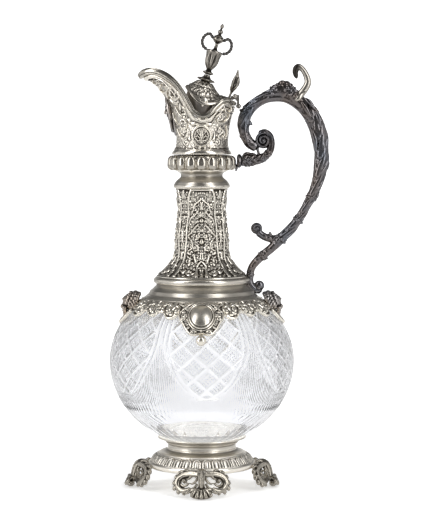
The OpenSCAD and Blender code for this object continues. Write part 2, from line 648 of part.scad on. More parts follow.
// Two cheeks under the saddle plate that drop inside the rim's dips
cheek_y = 12.5;
cheek_h = 21;
cheek_inset = 2.5;
module lid_cheeks(arch_r) {
    plan = [for (a = [0:6:354]) [(lid_half_l - cheek_inset) * cos(a), (lid_half_w - cheek_inset) * sin(a)]];
    inner = [for (a = [0:6:354])
        [(lid_half_l - cheek_inset - silver) * cos(a), (lid_half_w - cheek_inset - silver) * sin(a)]];
    intersection() {
        translate([-60, 0, crown_z - arch_r]) rotate([0, 90, 0])
            cylinder(r = arch_r - silver / 2, h = 120, $fn = 128);
        translate([lid_x, 0, crown_z - cheek_h]) difference() {
            linear_extrude(height = cheek_h) polygon(plan);
            translate([0, 0, -1]) linear_extrude(height = cheek_h + 2) polygon(inner);
            translate([-60, -cheek_y, -1]) cube([120, 2 * cheek_y, cheek_h + 2]);
        }
    }
}

// Saddle plate with a raised dome, open below, and a hole for the finial's stud
stud_r = 1.5;
module lid() {
    drop = crown_z - (rim_dip_z + 3.1);
    arch_r = (lid_half_w * lid_half_w + drop * drop) / (2 * drop);
    plan = [for (a = [0:7.5:352.5]) [lid_half_l * cos(a), lid_half_w * sin(a)]];
    color(silver_tone) opened() difference() {
        union() {
            difference() {
                intersection() {
                    translate([-60, 0, crown_z - arch_r]) rotate([0, 90, 0]) cylinder(r = arch_r, h = 120, $fn = 128);
                    translate([lid_x, 0, crown_z - 40]) linear_extrude(height = 60) polygon(plan);
                }
                translate([-60, 0, crown_z - arch_r]) rotate([0, 90, 0])
                    cylinder(r = arch_r - silver, h = 120, $fn = 128);
                translate([finial_x, 0, crown_z - 30]) cylinder(r = dome_r - 1, h = 60);
            }
            lid_cheeks(arch_r);
            translate([finial_x, 0, crown_z]) revolve([[dome_r - silver, -4.6], [dome_r, -4.6], [dome_r, 0.4],
                [dome_r - 0.8, 1.6], [dome_r - 2.7, 2.8], [dome_r - 4.7, 4.6], [dome_r - 6.7, 6.4], [6, 7.4], [0, 7.6],
                [0, 6.4], [5.4, 6.2], [dome_r - 7.8, 5.4], [dome_r - 5.6, 3.8], [dome_r - 3.6, 1.9],
                [dome_r - 2, 0.8]]);
        }
        translate([finial_x, 0, crown_z]) cylinder(r = stud_r + 0.1, h = 12);
    }
}

// Strap soldered to the lid's crown, with the middle knuckle
module lid_hinge_leaf() {
    start = finial_x + dome_r + 1.2;
    color(silver_tone) opened() difference() {
        union() {
            along_hinge(-knuckle_half, knuckle_half, knuckle_r);
            translate([start, -4.4, crown_z + seat / 2]) cube([hinge_x - start - 2.4, 8.8, 1.2]);
            translate([hinge_x - 3.4, -knuckle_half, crown_z + seat / 2]) cube([3, 2 * knuckle_half, 3]);
        }
        along_hinge(-20, 20, pin_r + pin_gap);
    }
}

// Leaf-shaped thumbpiece on the strap
module thumbpiece() {
    z = crown_z + seat / 2 + 1.2 + seat;
    x = hinge_x - 4.6;
    color(silver_tone) opened() tube([[x, z, 1, 2.4], [x + 0.6, z + 4, 1.1, 2.6], [x + 1.6, z + 8.6, 2.2, 5],
        [x + 2.2, z + 13, 2.8, 6.2], [x + 1.7, z + 18, 2, 4.2], [x + 0.6, z + 24.4, 0.5, 0.8]], 3, 10);
}

// Flanged foot of the finial with a stud that goes through the lid
module finial_flange() {
    color(silver_tone) opened() translate([finial_x, 0, dome_top + face]) revolve([[0, -5.6], [stud_r, -5.6],
        [stud_r, 0], [3.4, 0], [3.4, 0.8], [7, 1.4], [7.9, 2.2], [7, 3], [4.2, 3.8], [3, 5], [2.6, 6.6], [0, 6.6]]);
}

// Fluted urn on a short baluster
urn_z = dome_top + 6.8;
module urn_flutes() {
    for (i = [0:7]) rotate([0, 0, 45 * i]) translate([6.6, 0, urn_h * 0.34]) rotate([0, 9, 0])
        cylinder(r = 1.2, h = urn_h * 0.42);
}

module finial_urn() {
    color(silver_tone) opened() translate([finial_x, 0, urn_z]) difference() {
        revolve([[0, 0], [2.6, 0], [4.7, 1.2], [4.7, 2.1], [2.8, 3], [2.3, 4.4], [3.2, 5.8], [4.8, urn_h * 0.45],
            [5.4, urn_h * 0.63], [5.8, urn_h * 0.76], [6.8, urn_h * 0.9], [7, urn_h * 0.95], [6.2, urn_h],
            [3, urn_h], [1.7, urn_h + 1.4], [1.5, urn_h + 6], [0, urn_h + 6]]);
        urn_flutes();
    }
}

// Knopped cap above the urn
cap_z = urn_z + urn_h + 6 + face;
module finial_cap() {
    color(silver_tone) opened() translate([finial_x, 0, cap_z]) revolve([[0, 0], [1.6, 0], [2.4, 0.6], [4.6, 2.8],
        [4.9, 4.4], [4, 5.8], [2.6, 6.8], [1.4, 8], [2.4, 9.2], [2.4, 10.6], [1.1, 12], [1, 12.6], [1.8, 14],
        [1.8, 15.4], [0.9, 17], [0, 17.4]]);
}

// Beaded loop from the urn's edge to the cap
module finial_loop() {
    z = urn_z + urn_h;
    tube([[7.2 + seat, z - 0.6, 1, 1], [10.4, z + 0.8, 1.2, 1.2], [12.6, z + 4.8, 1.2, 1.2], [11.8, z + 9.4, 1.2, 1.2],
        [8.8, z + 12.2, 1.2, 1.2], [6.1 + seat, cap_z + 4.2, 0.9, 0.9]], 3, 8);
}

module finial_loop_spout_side() {
    color(dark_tone) opened() translate([finial_x, 0, 0]) rotate([0, 0, 180]) finial_loop();
}

module finial_loop_handle_side() {
    color(dark_tone) opened() translate([finial_x, 0, 0]) finial_loop();
}

// Nut that holds the finial's stud under the dome
module finial_nut() {
    color(silver_tone) opened() translate([finial_x, 0, dome_top - 4.4]) difference() {
        cylinder(r = 3.6, h = 3, $fn = 6);
        translate([0, 0, -1]) cylinder(r = stud_r + 0.05, h = 6);
    }
}

foot_front();
foot_right();
foot_back();
foot_left();
foot_dome();
foot_cup();
foot_cement();
glass_body();
shoulder_cement();
shoulder_skirt();
shoulder_mount();
cartouche_front();
cartouche_back();
pendant_front();
pendant_back();
mask_spout_side();
mask_handle_side();
neck_sleeve();
neck_moulding();
gadroon_ring();
spout_body();
spout_rim();
spout_mask();
medallion_front();
medallion_back();
handle_bow();
handle_arm();
handle_swan();
handle_socket();
hinge_bracket();
hinge_pin();
lid();
lid_hinge_leaf();
thumbpiece();
finial_flange();
finial_urn();
finial_cap();
finial_loop_spout_side();
finial_loop_handle_side();
finial_nut();
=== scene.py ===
"""Looks of a silver-mounted cut-glass claret jug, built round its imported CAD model."""
import math

import bpy
import numpy as np
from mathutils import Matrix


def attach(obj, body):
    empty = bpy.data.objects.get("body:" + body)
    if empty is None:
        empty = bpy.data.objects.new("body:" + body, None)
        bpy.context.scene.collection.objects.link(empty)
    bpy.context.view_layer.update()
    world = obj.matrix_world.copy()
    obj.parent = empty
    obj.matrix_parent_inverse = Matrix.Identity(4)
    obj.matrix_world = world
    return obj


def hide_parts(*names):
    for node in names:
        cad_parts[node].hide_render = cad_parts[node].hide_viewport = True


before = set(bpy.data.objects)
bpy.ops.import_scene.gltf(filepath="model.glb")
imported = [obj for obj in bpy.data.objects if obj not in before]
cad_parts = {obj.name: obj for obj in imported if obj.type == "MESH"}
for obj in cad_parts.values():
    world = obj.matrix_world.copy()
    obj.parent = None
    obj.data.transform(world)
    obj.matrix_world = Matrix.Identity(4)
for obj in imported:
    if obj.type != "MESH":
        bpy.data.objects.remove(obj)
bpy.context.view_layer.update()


# ---- Four scroll feet --------------------------------------------------------------------
# Each foot is one silver casting: a spine that drops from the dome to a ribbed shell toe,
# with a pierced scroll and leaves on both sides. It is soldered under the dome's edge.
MM = 0.001
foot_turns = {"foot_front": 270, "foot_right": 0, "foot_back": 90, "foot_left": 180}
foot_edge_r = 46.2
toe_x = 60.8
toe_half_w = 12.0
wing_sweep = 30
wing_tilt = 25
wing_base = 5
volute_at = (18.6, 14.2)
wax_grain = 0.42


def through(rows, steps):
    """Smooth line of rows that passes through the given rows."""
    p = np.array(rows, float)
    p = np.vstack([p[:1], p, p[-1:]])
    t = (np.arange(steps) / steps)[:, None]
    line = [
        0.5 * (2 * b + (c - a) * t + (2 * a - 5 * b + 4 * c - d) * t**2 + (3 * b - a - 3 * c + d) * t**3)
        for a, b, c, d in zip(p[:-3], p[1:-2], p[2:-1], p[3:])
    ]
    return np.vstack(line + [p[-1:]])


def unit(v):
    return v / np.maximum(np.linalg.norm(v, axis=-1, keepdims=True), 1e-9)


def ring_faces(n, m, loop=True, flip=False):
    """Faces between n rings of m points each. A loop also joins the last ring to the first."""
    j = np.arange(m)
    k = (j + 1) % m
    if flip:
        j, k = k, j
    return np.vstack([np.stack([i * m + j, i * m + k, (i + 1) % n * m + k, (i + 1) % n * m + j], 1)
                      for i in range(n if loop else n - 1)])


def capped(rings, tips, flip=False):
    """Points and faces of a rod, from its rings and the point at each of its ends."""
    n, m = rings.shape[:2]
    faces = ring_faces(n, m, False, flip).tolist()
    start = [(n * m, b, a) for a, b, _, _ in faces[:m]]
    end = [(n * m + 1, d, c) for _, _, c, d in faces[-m:]]
    return np.vstack([rings.reshape(-1, 3), tips]), faces + start + end


def wax_rod(rows, across=(0, 1, 0), steps=4, sides=12):
    """Closed rod through rows of x, y, z, thickness and width across, with rounded ends."""
    line = through(rows, steps)
    way = unit(np.gradient(line[:, :3], axis=0))
    wide = unit(np.cross(np.cross(way, np.array(across, float)), way))
    thick = np.cross(wide, way)
    turn = 2 * np.pi * np.arange(sides) / sides
    rings = (
        line[:, None, :3]
        + line[:, None, 3:4] * np.cos(turn)[None, :, None] * thick[:, None]
        + line[:, None, 4:5] * np.sin(turn)[None, :, None] * wide[:, None]
    )
    tips = [line[0, :3] - way[0] * line[0, 3] * 0.7, line[-1, :3] + way[-1] * line[-1, 3] * 0.7]
    return capped(rings, tips)


def wax_ball(centre, radii, tilt=0.0):
    """Egg of three radii; tilt turns it about Y, in degrees."""
    rows, sides = 10, 18
    lat = np.pi * (np.arange(1, rows) / rows - 0.5)
    lon = 2 * np.pi * np.arange(sides) / sides
    ball = np.array([[math.cos(a) * math.cos(b), math.cos(a) * math.sin(b), math.sin(a)] for a in lat for b in lon])
    ball = np.vstack([ball, [[0, 0, -1], [0, 0, 1]]]) * np.broadcast_to(np.array(radii, float), (3,))
    c, s = math.cos(math.radians(tilt)), math.sin(math.radians(tilt))
    ball = ball @ np.array([[c, 0, -s], [0, 1, 0], [s, 0, c]])
    n = (rows - 1) * sides
    faces = []
    for a in range(sides):
        b = (a + 1) % sides
        faces += [(i * sides + a, i * sides + b, (i + 1) * sides + b, (i + 1) * sides + a) for i in range(rows - 2)]
        faces += [(n, b, a), (n + 1, n - sides + a, n - sides + b)]
    return ball + np.array(centre, float), faces


def mirrored(parts):
    """The parts and their mirror images in Y."""
    return parts + [(p * (1, -1, 1), [f[::-1] for f in faces]) for p, faces in parts]


def turned_about_z(points, degrees):
    c, s = math.cos(math.radians(degrees)), math.sin(math.radians(degrees))
    return points @ np.array([[c, s, 0], [-s, c, 0], [0, 0, 1]])


def new_piece(name, points_mm, faces):
    mesh = bpy.data.meshes.new(name)
    mesh.from_pydata((np.asarray(points_mm) * MM).tolist(), [], faces)
    piece = bpy.data.objects.new(name, mesh)
    bpy.context.scene.collection.objects.link(piece)
    return piece


def plain_copy(piece):
    """Swaps a piece's mesh for its modifiers' result and drops the modifiers."""
    evaluated = piece.evaluated_get(bpy.context.evaluated_depsgraph_get())
    mesh = bpy.data.meshes.new_from_object(evaluated)
    piece.modifiers.clear()
    piece.data = mesh
    return piece


def points_of(piece):
    """Places of a piece's points, in metres."""
    co = np.empty(len(piece.data.vertices) * 3)
    piece.data.vertices.foreach_get("co", co)
    return co.reshape(-1, 3)


def age(piece, spread=14, depth=0.28, flatten=0):
    """Smooths the mesh and stores how deep each point lies in a hollow, for the oxide and painted shade there."""
    mesh = piece.data
    co = points_of(piece)
    n = len(co)
    edges = np.empty(len(mesh.edges) * 2, int)
    mesh.edges.foreach_get("vertices", edges)
    a, b = edges.reshape(-1, 2).T
    ends, other = np.concatenate([a, b]), np.concatenate([b, a])
    share = np.maximum(np.bincount(ends, minlength=n), 1)[:, None]

    def eased(p):
        return np.stack([np.bincount(ends, p[other, k], n) for k in range(3)], 1) / share

    for _ in range(flatten):
        co = 0.5 * co + 0.5 * eased(co)
    mesh.vertices.foreach_set("co", co.ravel())
    mesh.update()
    normal = np.empty(n * 3)
    mesh.vertices.foreach_get("normal", normal)
    far = co
    for _ in range(spread):
        far = eased(far)
    gap = ((far - co) * normal.reshape(-1, 3)).sum(1) / MM
    hollow = mesh.attributes.new("hollow", "FLOAT", "POINT")
    hollow.data.foreach_set("value", np.clip(gap / depth, -1, 1))
    mesh.shade_smooth()
    return piece


def cast(name, parts, grain=wax_grain, spread=14, depth=0.22):
    """Melts closed parts into one casting of an even fine mesh."""
    points, faces, start = [], [], 0
    for p, f in parts:
        points.append(p)
        faces += [tuple(start + i for i in face) for face in f]
        start += len(p)
    piece = new_piece(name, np.vstack(points), faces)
    melt = piece.modifiers.new("melt", "REMESH")
    melt.mode = "VOXEL"
    melt.voxel_size = grain * MM
    return age(plain_copy(piece), spread, depth, flatten=2)


def silver_metal(name, bright, dark, polish, dull, cut=0.35, tint=None):
    """Silver that is bright where it stands proud and dark in its hollows, with oxide and painted shade."""
    metal = bpy.data.materials.new(name)
    metal.use_nodes = True
    nodes, links = metal.node_tree.nodes, metal.node_tree.links
    shader = nodes["Principled BSDF"]
    shader.inputs["Metallic"].default_value = 1.0
    place = nodes.new("ShaderNodeTexCoord")
    hollow = nodes.new("ShaderNodeAttribute")
    hollow.attribute_name = "hollow"
    cloud = nodes.new("ShaderNodeTexNoise")
    cloud.inputs["Scale"].default_value = 70
    cloud.inputs["Detail"].default_value = 5
    links.new(place.outputs["Object"], cloud.inputs["Vector"])
    # The hollows darken the silver: partly oxide, partly painted shade.
    level = nodes.new("ShaderNodeMapRange")
    level.inputs["From Min"].default_value = -0.25
    level.inputs["From Max"].default_value = cut
    links.new(hollow.outputs["Fac"], level.inputs["Value"])
    wear_oxide_and_shade = nodes.new("ShaderNodeMath")
    wear_oxide_and_shade.operation = "MULTIPLY_ADD"
    links.new(cloud.outputs["Fac"], wear_oxide_and_shade.inputs[0])
    wear_oxide_and_shade.inputs[1].default_value = 0.22
    links.new(level.outputs["Result"], wear_oxide_and_shade.inputs[2])
    shift = nodes.new("ShaderNodeMath")
    shift.operation = "SUBTRACT"
    shift.use_clamp = True
    shift.inputs[1].default_value = 0.11
    links.new(wear_oxide_and_shade.outputs["Value"], shift.inputs[0])
    tone = nodes.new("ShaderNodeValToRGB")
    ramp = tone.color_ramp
    ramp.elements[0].position, ramp.elements[0].color = 0.18, (*bright, 1)
    ramp.elements[1].position, ramp.elements[1].color = 0.95, (*dark, 1)
    middle = ramp.elements.new(0.55)
    middle.color = (*[0.42 * a + 0.58 * b for a, b in zip(bright, dark)], 1)
    links.new(shift.outputs["Value"], tone.inputs["Fac"])
    colour = tone.outputs["Color"]
    if tint:
        drift = nodes.new("ShaderNodeTexNoise")
        drift.inputs["Scale"].default_value = 38
        drift.inputs["Detail"].default_value = 3
        links.new(place.outputs["Object"], drift.inputs["Vector"])
        hues = nodes.new("ShaderNodeValToRGB")
        hues.color_ramp.elements[0].position, hues.color_ramp.elements[0].color = 0.36, (*tint[0], 1)
        hues.color_ramp.elements[1].position, hues.color_ramp.elements[1].color = 0.66, (*tint[1], 1)
        links.new(drift.outputs["Fac"], hues.inputs["Fac"])
        stain = nodes.new("ShaderNodeMix")
        stain.data_type = "RGBA"
        stain.blend_type = "MULTIPLY"
        stain.inputs["Factor"].default_value = 1.0
        links.new(colour, stain.inputs["A"])
        links.new(hues.outputs["Color"], stain.inputs["B"])
        colour = stain.outputs["Result"]
    links.new(colour, shader.inputs["Base Color"])
    gloss = nodes.new("ShaderNodeMapRange")
    gloss.inputs["To Min"].default_value = polish
    gloss.inputs["To Max"].default_value = dull
    links.new(shift.outputs["Value"], gloss.inputs["Value"])
    links.new(gloss.outputs["Result"], shader.inputs["Roughness"])
    grain = nodes.new("ShaderNodeTexNoise")
    grain.inputs["Scale"].default_value = 900
    grain.inputs["Detail"].default_value = 3
    links.new(place.outputs["Object"], grain.inputs["Vector"])
    bump = nodes.new("ShaderNodeBump")
    bump.inputs["Strength"].default_value = 0.06
    bump.inputs["Distance"].default_value = 0.0004
    links.new(grain.outputs["Fac"], bump.inputs["Height"])
    links.new(bump.outputs["Normal"], shader.inputs["Normal"])
    return metal


silver_bright = (0.86, 0.812, 0.725)
silver_dark = (0.062, 0.053, 0.042)
silver = silver_metal("silver", silver_bright, silver_dark, 0.17, 0.5)


def wear(piece, material):
    """Puts a piece's one material on it."""
    piece.data.materials.clear()
    piece.data.materials.append(material)
    return piece


def spiral(centre, r, turns, start, width, rise=(1.0, 1.0)):
    """Rows of a flat spiral in the XZ plane that winds inwards to its eye."""
    rows = []
    for i in range(int(14 * turns) + 1):
        f = i / (14 * turns)
        a = math.radians(start) + 2 * math.pi * turns * f
        far = r * (1 - 0.86 * f)
        w = width * (1 - 0.5 * f)
        rows.append((centre[0] + far * math.cos(a) * rise[0], 0, centre[1] + far * math.sin(a) * rise[1], w, w))
    return rows


def wing_place(points):
    """From the wing's own plane, where X runs sideways and Z up, to its place on the foot."""
    p = points - (0, 0, wing_base)
    c, s = math.cos(math.radians(-wing_tilt)), math.sin(math.radians(-wing_tilt))
    p = p @ np.array([[1, 0, 0], [0, c, s], [0, -s, c]])
    return turned_about_z(p, 90 + wing_sweep) + (toe_x + 1, 0, wing_base)


def foot_parts():
    spine = [(foot_edge_r + 0.4, 0, 20.4, 2.4, 5), (50.6, 0, 21.8, 2.3, 4.4), (55, 0, 19.2, 2.1, 3.4),
             (57.4, 0, 14.2, 1.9, 2.8), (58.4, 0, 9.6, 2.0, 3.4), (60.8, 0, 4.9, 2.8, 6)]
    parts = [wax_rod(spine)]
    parts.append(wax_rod([(x + 1.6, 0, z + 1.4, 1.0, 1.0) for x, _, z, _, _ in spine[:-1]]))
    parts += [wax_ball((58.2 + 0.9 * i, 0, 17.4 - 3.4 * i), 1.35 - 0.12 * i) for i in range(4)]
    ribs = 7
    for i in range(ribs):
        side = 2 * i / (ribs - 1) - 1
        y = toe_half_w * side
        lift = 3.4 * side * side
        reach = 3.6 * (1 - 0.75 * side * side)
        parts.append(wax_rod([
            (toe_x - 1.0, 0.28 * y, 8.4, 1.3, 1.1), (toe_x + 1.6, 0.72 * y, 6.0 + 0.6 * lift, 1.7, 1.5),
            (toe_x + 1.2 + 0.8 * reach, 0.97 * y, 3.0 + lift, 1.7, 1.7),
            (toe_x + 0.6 + reach, y, 1.9 + lift, 1.2, 1.4),
        ]))
    parts.append(wax_ball((toe_x, 0, 3.4), (3.6, 9.6, 3.3)))
    wing = [
        wax_rod([(2, 0, 20, 2.2, 2.4), (9, 0, 20.6, 2.4, 2.6), (15.4, 0, 20.2, 2.4, 2.6), (20.6, 0, 18.4, 2.5, 2.7),
                 (24.2, 0, 14.8, 2.7, 2.8), (24.2, 0, 10.4, 2.7, 2.8), (21.4, 0, 7.1, 2.6, 2.7),
                 (17, 0, 6.0, 2.4, 2.6),
                 (11.6, 0, 7.6, 2.2, 2.4)]),
        wax_rod(spiral(volute_at, 4.6, 1.5, 200, 1.15)),
        wax_rod([(3, -2, 20.6, 0.55, 0.6), (10, -2.2, 22.1, 0.6, 0.6), (16, -2.3, 21.6, 0.6, 0.6),
                 (21.8, -2.4, 19.4, 0.6, 0.6), (25.6, -2.4, 14.8, 0.6, 0.6), (25.8, -2.4, 10.2, 0.6, 0.6)]),
        wax_ball((volute_at[0], -1.2, volute_at[1]), 1.7),
        wax_rod([(14, 0, 21, 1.2, 1.8), (18, 0, 23, 1.7, 2.0), (20.8, 0, 22.8, 1.2, 1.5)]),
        wax_rod([(19, 0, 19.6, 1.6, 2.0), (22.8, 0, 21.6, 2.0, 2.1), (25.2, 0, 21.0, 1.4, 1.7)]),
        wax_rod([(22.6, 0, 17, 1.6, 2.0), (26, 0, 17.6, 2.1, 2.1), (27.8, 0, 15.8, 1.4, 1.7)]),
        wax_rod([(24, 0, 13, 1.6, 2.0), (27, 0, 12.8, 2.1, 2.1), (28.4, 0, 10.6, 1.4, 1.7)]),
        wax_rod([(23.6, 0, 9.6, 1.6, 2.0), (26.2, 0, 8.0, 2.0, 2.0), (26.6, 0, 5.8, 1.4, 1.5)]),
        wax_rod([(20.6, 0, 6.8, 1.6, 2.0), (22.2, 0, 4.6, 1.8, 1.9), (21.4, 0, 3.0, 1.2, 1.4)]),
        wax_rod([(16, 0, 5.8, 1.4, 1.9), (16.8, 0, 3.8, 1.5, 1.8), (15.4, 0, 2.8, 1.0, 1.2)]),
        wax_rod([(13, 0, 19, 1.0, 1.6), (14.6, 0, 16.6, 0.9, 1.4), (17.4, 0, 16.4, 0.5, 0.8)]),
        wax_rod([(7, 0, 20, 1.3, 1.8), (7.6, 0, 15.6, 1.2, 1.6), (10.6, 0, 12.6, 0.9, 1.2), (13, 0, 13, 0.5, 0.7)]),
        wax_rod([(10.4, 0, 7, 1.5, 1.8), (7.4, 0, 9.8, 1.4, 1.7), (6.2, 0, 13, 1.0, 1.3)]),
    ]
    wing = [(wing_place(p), f) for p, f in wing]
    return parts + mirrored(wing)


# The feet are a darker copy of the silver: painted shade.
foot_silver_painted_shade = silver_metal("foot_silver_painted_shade", (0.4, 0.37, 0.318), (0.05, 0.043, 0.034), 0.17, 0.5, 0.22)
foot_wax = foot_parts()
for node, degrees in foot_turns.items():
    foot = cast(node + "_cast", [(turned_about_z(p, degrees), f) for p, f in foot_wax], spread=20, depth=0.3)
    sole = np.array([v.co for v in foot.data.vertices])
    sole[:, 2] = np.maximum(sole[:, 2], 0)
    foot.data.vertices.foreach_set("co", sole.ravel())
    wear(foot, foot_silver_painted_shade)
    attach(foot, "jug")
    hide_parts(node)

# ---- Domed foot and collar ---------------------------------------------------------------
# The dome is spun from silver sheet, with a chased band of tongues round its shoulder.
# The collar above it is soldered on and grips the bottom of the globe.
foot_rise = 17.8
waist_r = 29.2
tongues = 32


def evened(path, spacing):
    """Path in r and z with points at an even spacing that keeps its corners."""
    p = [np.array(path[0], float)]
    for a, b in zip(path[:-1], path[1:]):
        a, b = np.array(a, float), np.array(b, float)
        n = max(1, int(round(np.linalg.norm(b - a) / spacing)))
        p += [a + (b - a) * i / n for i in range(1, n + 1)]
    return np.array(p)


def spun(name, outer, inner, round_steps, relief=None, spacing=0.35, spread=14, depth=0.22, steps=4):
    """Turned shell: a smooth outer path with relief, closed by a plain inner path."""
    path = evened(through(outer, steps), spacing)
    way = unit(np.gradient(path, axis=0))
    out = np.stack([way[:, 1], -way[:, 0]], 1)
    angle = 2 * np.pi * np.arange(round_steps) / round_steps
    lift = np.zeros((len(path), round_steps))
    if relief:
        lift = relief(*np.meshgrid(angle, np.arange(len(path)), indexing="xy"), path)
    shell = path[:, None] + out[:, None] * lift[..., None]
    inside = np.repeat(np.array(inner, float)[:, None], round_steps, 1)
    rings = np.concatenate([shell, inside])
    points = np.stack([rings[..., 0] * np.cos(angle), rings[..., 0] * np.sin(angle), rings[..., 1]], -1)
    faces = ring_faces(len(rings), round_steps)
    return age(new_piece(name, points.reshape(-1, 3), faces.tolist()), spread, depth)


def ridge(distance, half_width, flat=0.0):
    """Rounded ridge across a line; flat is the share of its width that is level."""
    t = np.clip((1 - distance / half_width) / (1 - flat), 0, 1)
    return np.sqrt(1 - (1 - t) ** 2)


def tongue_relief(angle, row, path):
    z = path[row, 1] - foot_rise
    pitch = 2 * math.pi / tongues
    across = np.abs((angle / pitch) % 1 - 0.5) * pitch * path[row, 0]
    up = (z - 5.4) / 6.0
    inside = (up > 0) & (up < 1)
    wide = np.where(up > 0.55, 2.9 * np.sqrt(np.clip(1 - ((up - 0.55) / 0.42) ** 2, 0.01, 1)), 2.9)
    rim = ridge(np.abs(across - wide), 0.65) * 0.55
    heart = ridge(across, 1.5) * 0.45 * (up < 0.86)
    return np.where(inside, np.maximum(rim, heart) - 0.25, 0)


dome_outer = [(foot_edge_r - 1.6, 17.8), (foot_edge_r - 0.3, 19), (foot_edge_r, 20.6), (foot_edge_r - 0.5, 22),
              (foot_edge_r - 1.8, 22.9), (foot_edge_r - 2.2, 23.4), (foot_edge_r - 4.6, 26.8),
              (foot_edge_r - 8.2, 29.3), (foot_edge_r - 8.8, 29.3), (foot_edge_r - 9.6, 30.4),
              (foot_edge_r - 11, 31), (waist_r + 2.8, 31.6), (waist_r + 0.9, 32.7), (waist_r, 34.2)]
dome_inner = [(waist_r - 1.3, 34.2), (waist_r - 1.3, 32.6), (foot_edge_r - 10.8, 28.8), (foot_edge_r - 5.4, 24.4),
              (foot_edge_r - 2.9, 17.8)]
dome = spun("foot_dome_spun", dome_outer, dome_inner, 640, tongue_relief, spread=7, depth=0.6)
# The dome and collar are a lighter copy of the silver: painted light.
band_silver_painted_light = silver_metal("band_silver_painted_light", (0.94, 0.89, 0.8), (0.07, 0.06, 0.048), 0.26, 0.5)
wear(dome, band_silver_painted_light)
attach(dome, "jug")
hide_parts("foot_dome")

collar_flare = 37.7
collar_outer = [(waist_r, 34.24), (waist_r - 0.3, 36.4), (waist_r, 37.8), (waist_r + 1.3, 38.4),
                (waist_r + 1.9, 39.2), (waist_r + 1.1, 40), (waist_r + 2, 40.8), (waist_r + 4, 41.6),
                (collar_flare - 0.5, 42.5), (collar_flare, 43.2), (collar_flare - 0.3, 43.84)]
collar_inner = [(36.2, 43.7), (34.2, 42.9), (32.4, 42.1), (waist_r - 1.7, 41.2), (waist_r - 1.7, 34.3)]
collar = spun("foot_cup_spun", collar_outer, collar_inner, 320, spread=6, depth=2.5)
wear(collar, band_silver_painted_light)
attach(collar, "jug")
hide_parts("foot_cup")

# ---- Globe -------------------------------------------------------------------------------
# One blown globe with its own short neck, bedded in plaster at both ends. Six panels of
# hatched diamonds hang round the shoulder between double mitre cuts, above a band of fine
# flutes, a ring of pointed cuts and a ring of facets at the foot.
glass_mid = 108.806
globe_r, globe_low, globe_up = 78.5, 72.0, 66.5
panel_count = 6
panel_turn = math.radians(273.6)
panel_edge = [(84.9, 0), (86.5, 3.4), (92.1, 9.4), (97.5, 13.2), (103.5, 16.2), (113.7, 20.9), (122, 23.4),
              (129.2, 24.5), (150, 24.6)]
mitre_gap = 3.4
point_count, facet_count = 126, 36
diamond_w, diamond_h, diamond_z = 21.5, 18.6, 111.4
round_cuts = 504


def globe_at(z):
    reach = np.where(z < glass_mid, globe_low, globe_up)
    return globe_r * np.sqrt(np.clip(1 - ((z - glass_mid) / reach) ** 2, 0, 1))


def groove(distance, half_width, depth):
    return depth * np.clip(1 - distance / half_width, 0, 1)


def glass_cuts(angle, z):
    """Depth of the cuts at a place on the globe, where it is fluted and hatched, and where its cuts glow as painted
    highlight.
    """
    sector = 2 * math.pi / panel_count
    turn = np.degrees(np.abs((angle - panel_turn + sector / 2) % sector - sector / 2))
    edge = np.interp(z, *zip(*panel_edge))
    edge = np.where(z < panel_edge[0][0], -9, edge)
    r = globe_at(z)
    slope = np.hypot(1, np.gradient(edge, axis=0) * math.pi / 180 * r / np.maximum(np.gradient(z, axis=0), 1e-3))
    off_edge = (turn - edge) * math.pi / 180 * r / slope
    off_outer = (turn - edge - mitre_gap) * math.pi / 180 * r / slope
    s = turn * math.pi / 180 * globe_r
    u = s / diamond_w + (z - diamond_z) / diamond_h
    v = s / diamond_w - (z - diamond_z) / diamond_h
    across = diamond_w * diamond_h / math.hypot(diamond_w, diamond_h)
    lattice = np.minimum(np.abs(u - np.round(u)), np.abs(v - np.round(v))) * across
    in_panel = (turn < edge) & (z < 160)
    cuts = np.where(in_panel, groove(lattice, 1.5, 1.15), 0)
    cuts = np.maximum(cuts, np.where(z > 84, groove(np.abs(off_edge), 1.5, 1.15), 0))
    cuts = np.maximum(cuts, np.where(z > 82, groove(np.abs(off_outer), 1.2, 0.95), 0))
    # The ring of pointed cuts, and the facets at the foot.
    tip = (z - 69.5) / 12
    points = np.abs((angle / (2 * math.pi) * point_count) % 1 - 0.5) * 2 * math.pi * r / point_count
    depth = 0.75 * np.clip(tip * 3, 0, 1) * np.clip((1 - tip) * 1.6, 0, 1)
    pointed = groove(points, 1.7 * np.clip(tip, 0.05, 1), 1.0) * depth
    cuts = np.maximum(cuts, np.where((tip > 0) & (tip < 1), pointed, 0))
    petal = np.abs(((angle / (2 * math.pi) * facet_count) % 1) - 0.5) * 2
    petal_top = 57 - 9 * petal
    facets = 0.75 * (1 - petal) * np.clip((petal_top - z) / 2, 0, 1)
    cuts = np.maximum(cuts, np.where((z < petal_top) & (z > 45), facets, 0))
    hatched = in_panel & (lattice > 1.7) & (turn < edge - 2)
    alternate = (np.floor(u) + np.floor(v)) % 2 == 0
    fluted = np.clip((z - 76) / 8, 0, 1) * np.clip((127 - z) / 4, 0, 1) * (turn > edge + mitre_gap + 1.2)
    return cuts, fluted, hatched * np.where(alternate, 1.0, 0.4), np.where(z > 84, np.clip(cuts, 0, 1), 0)


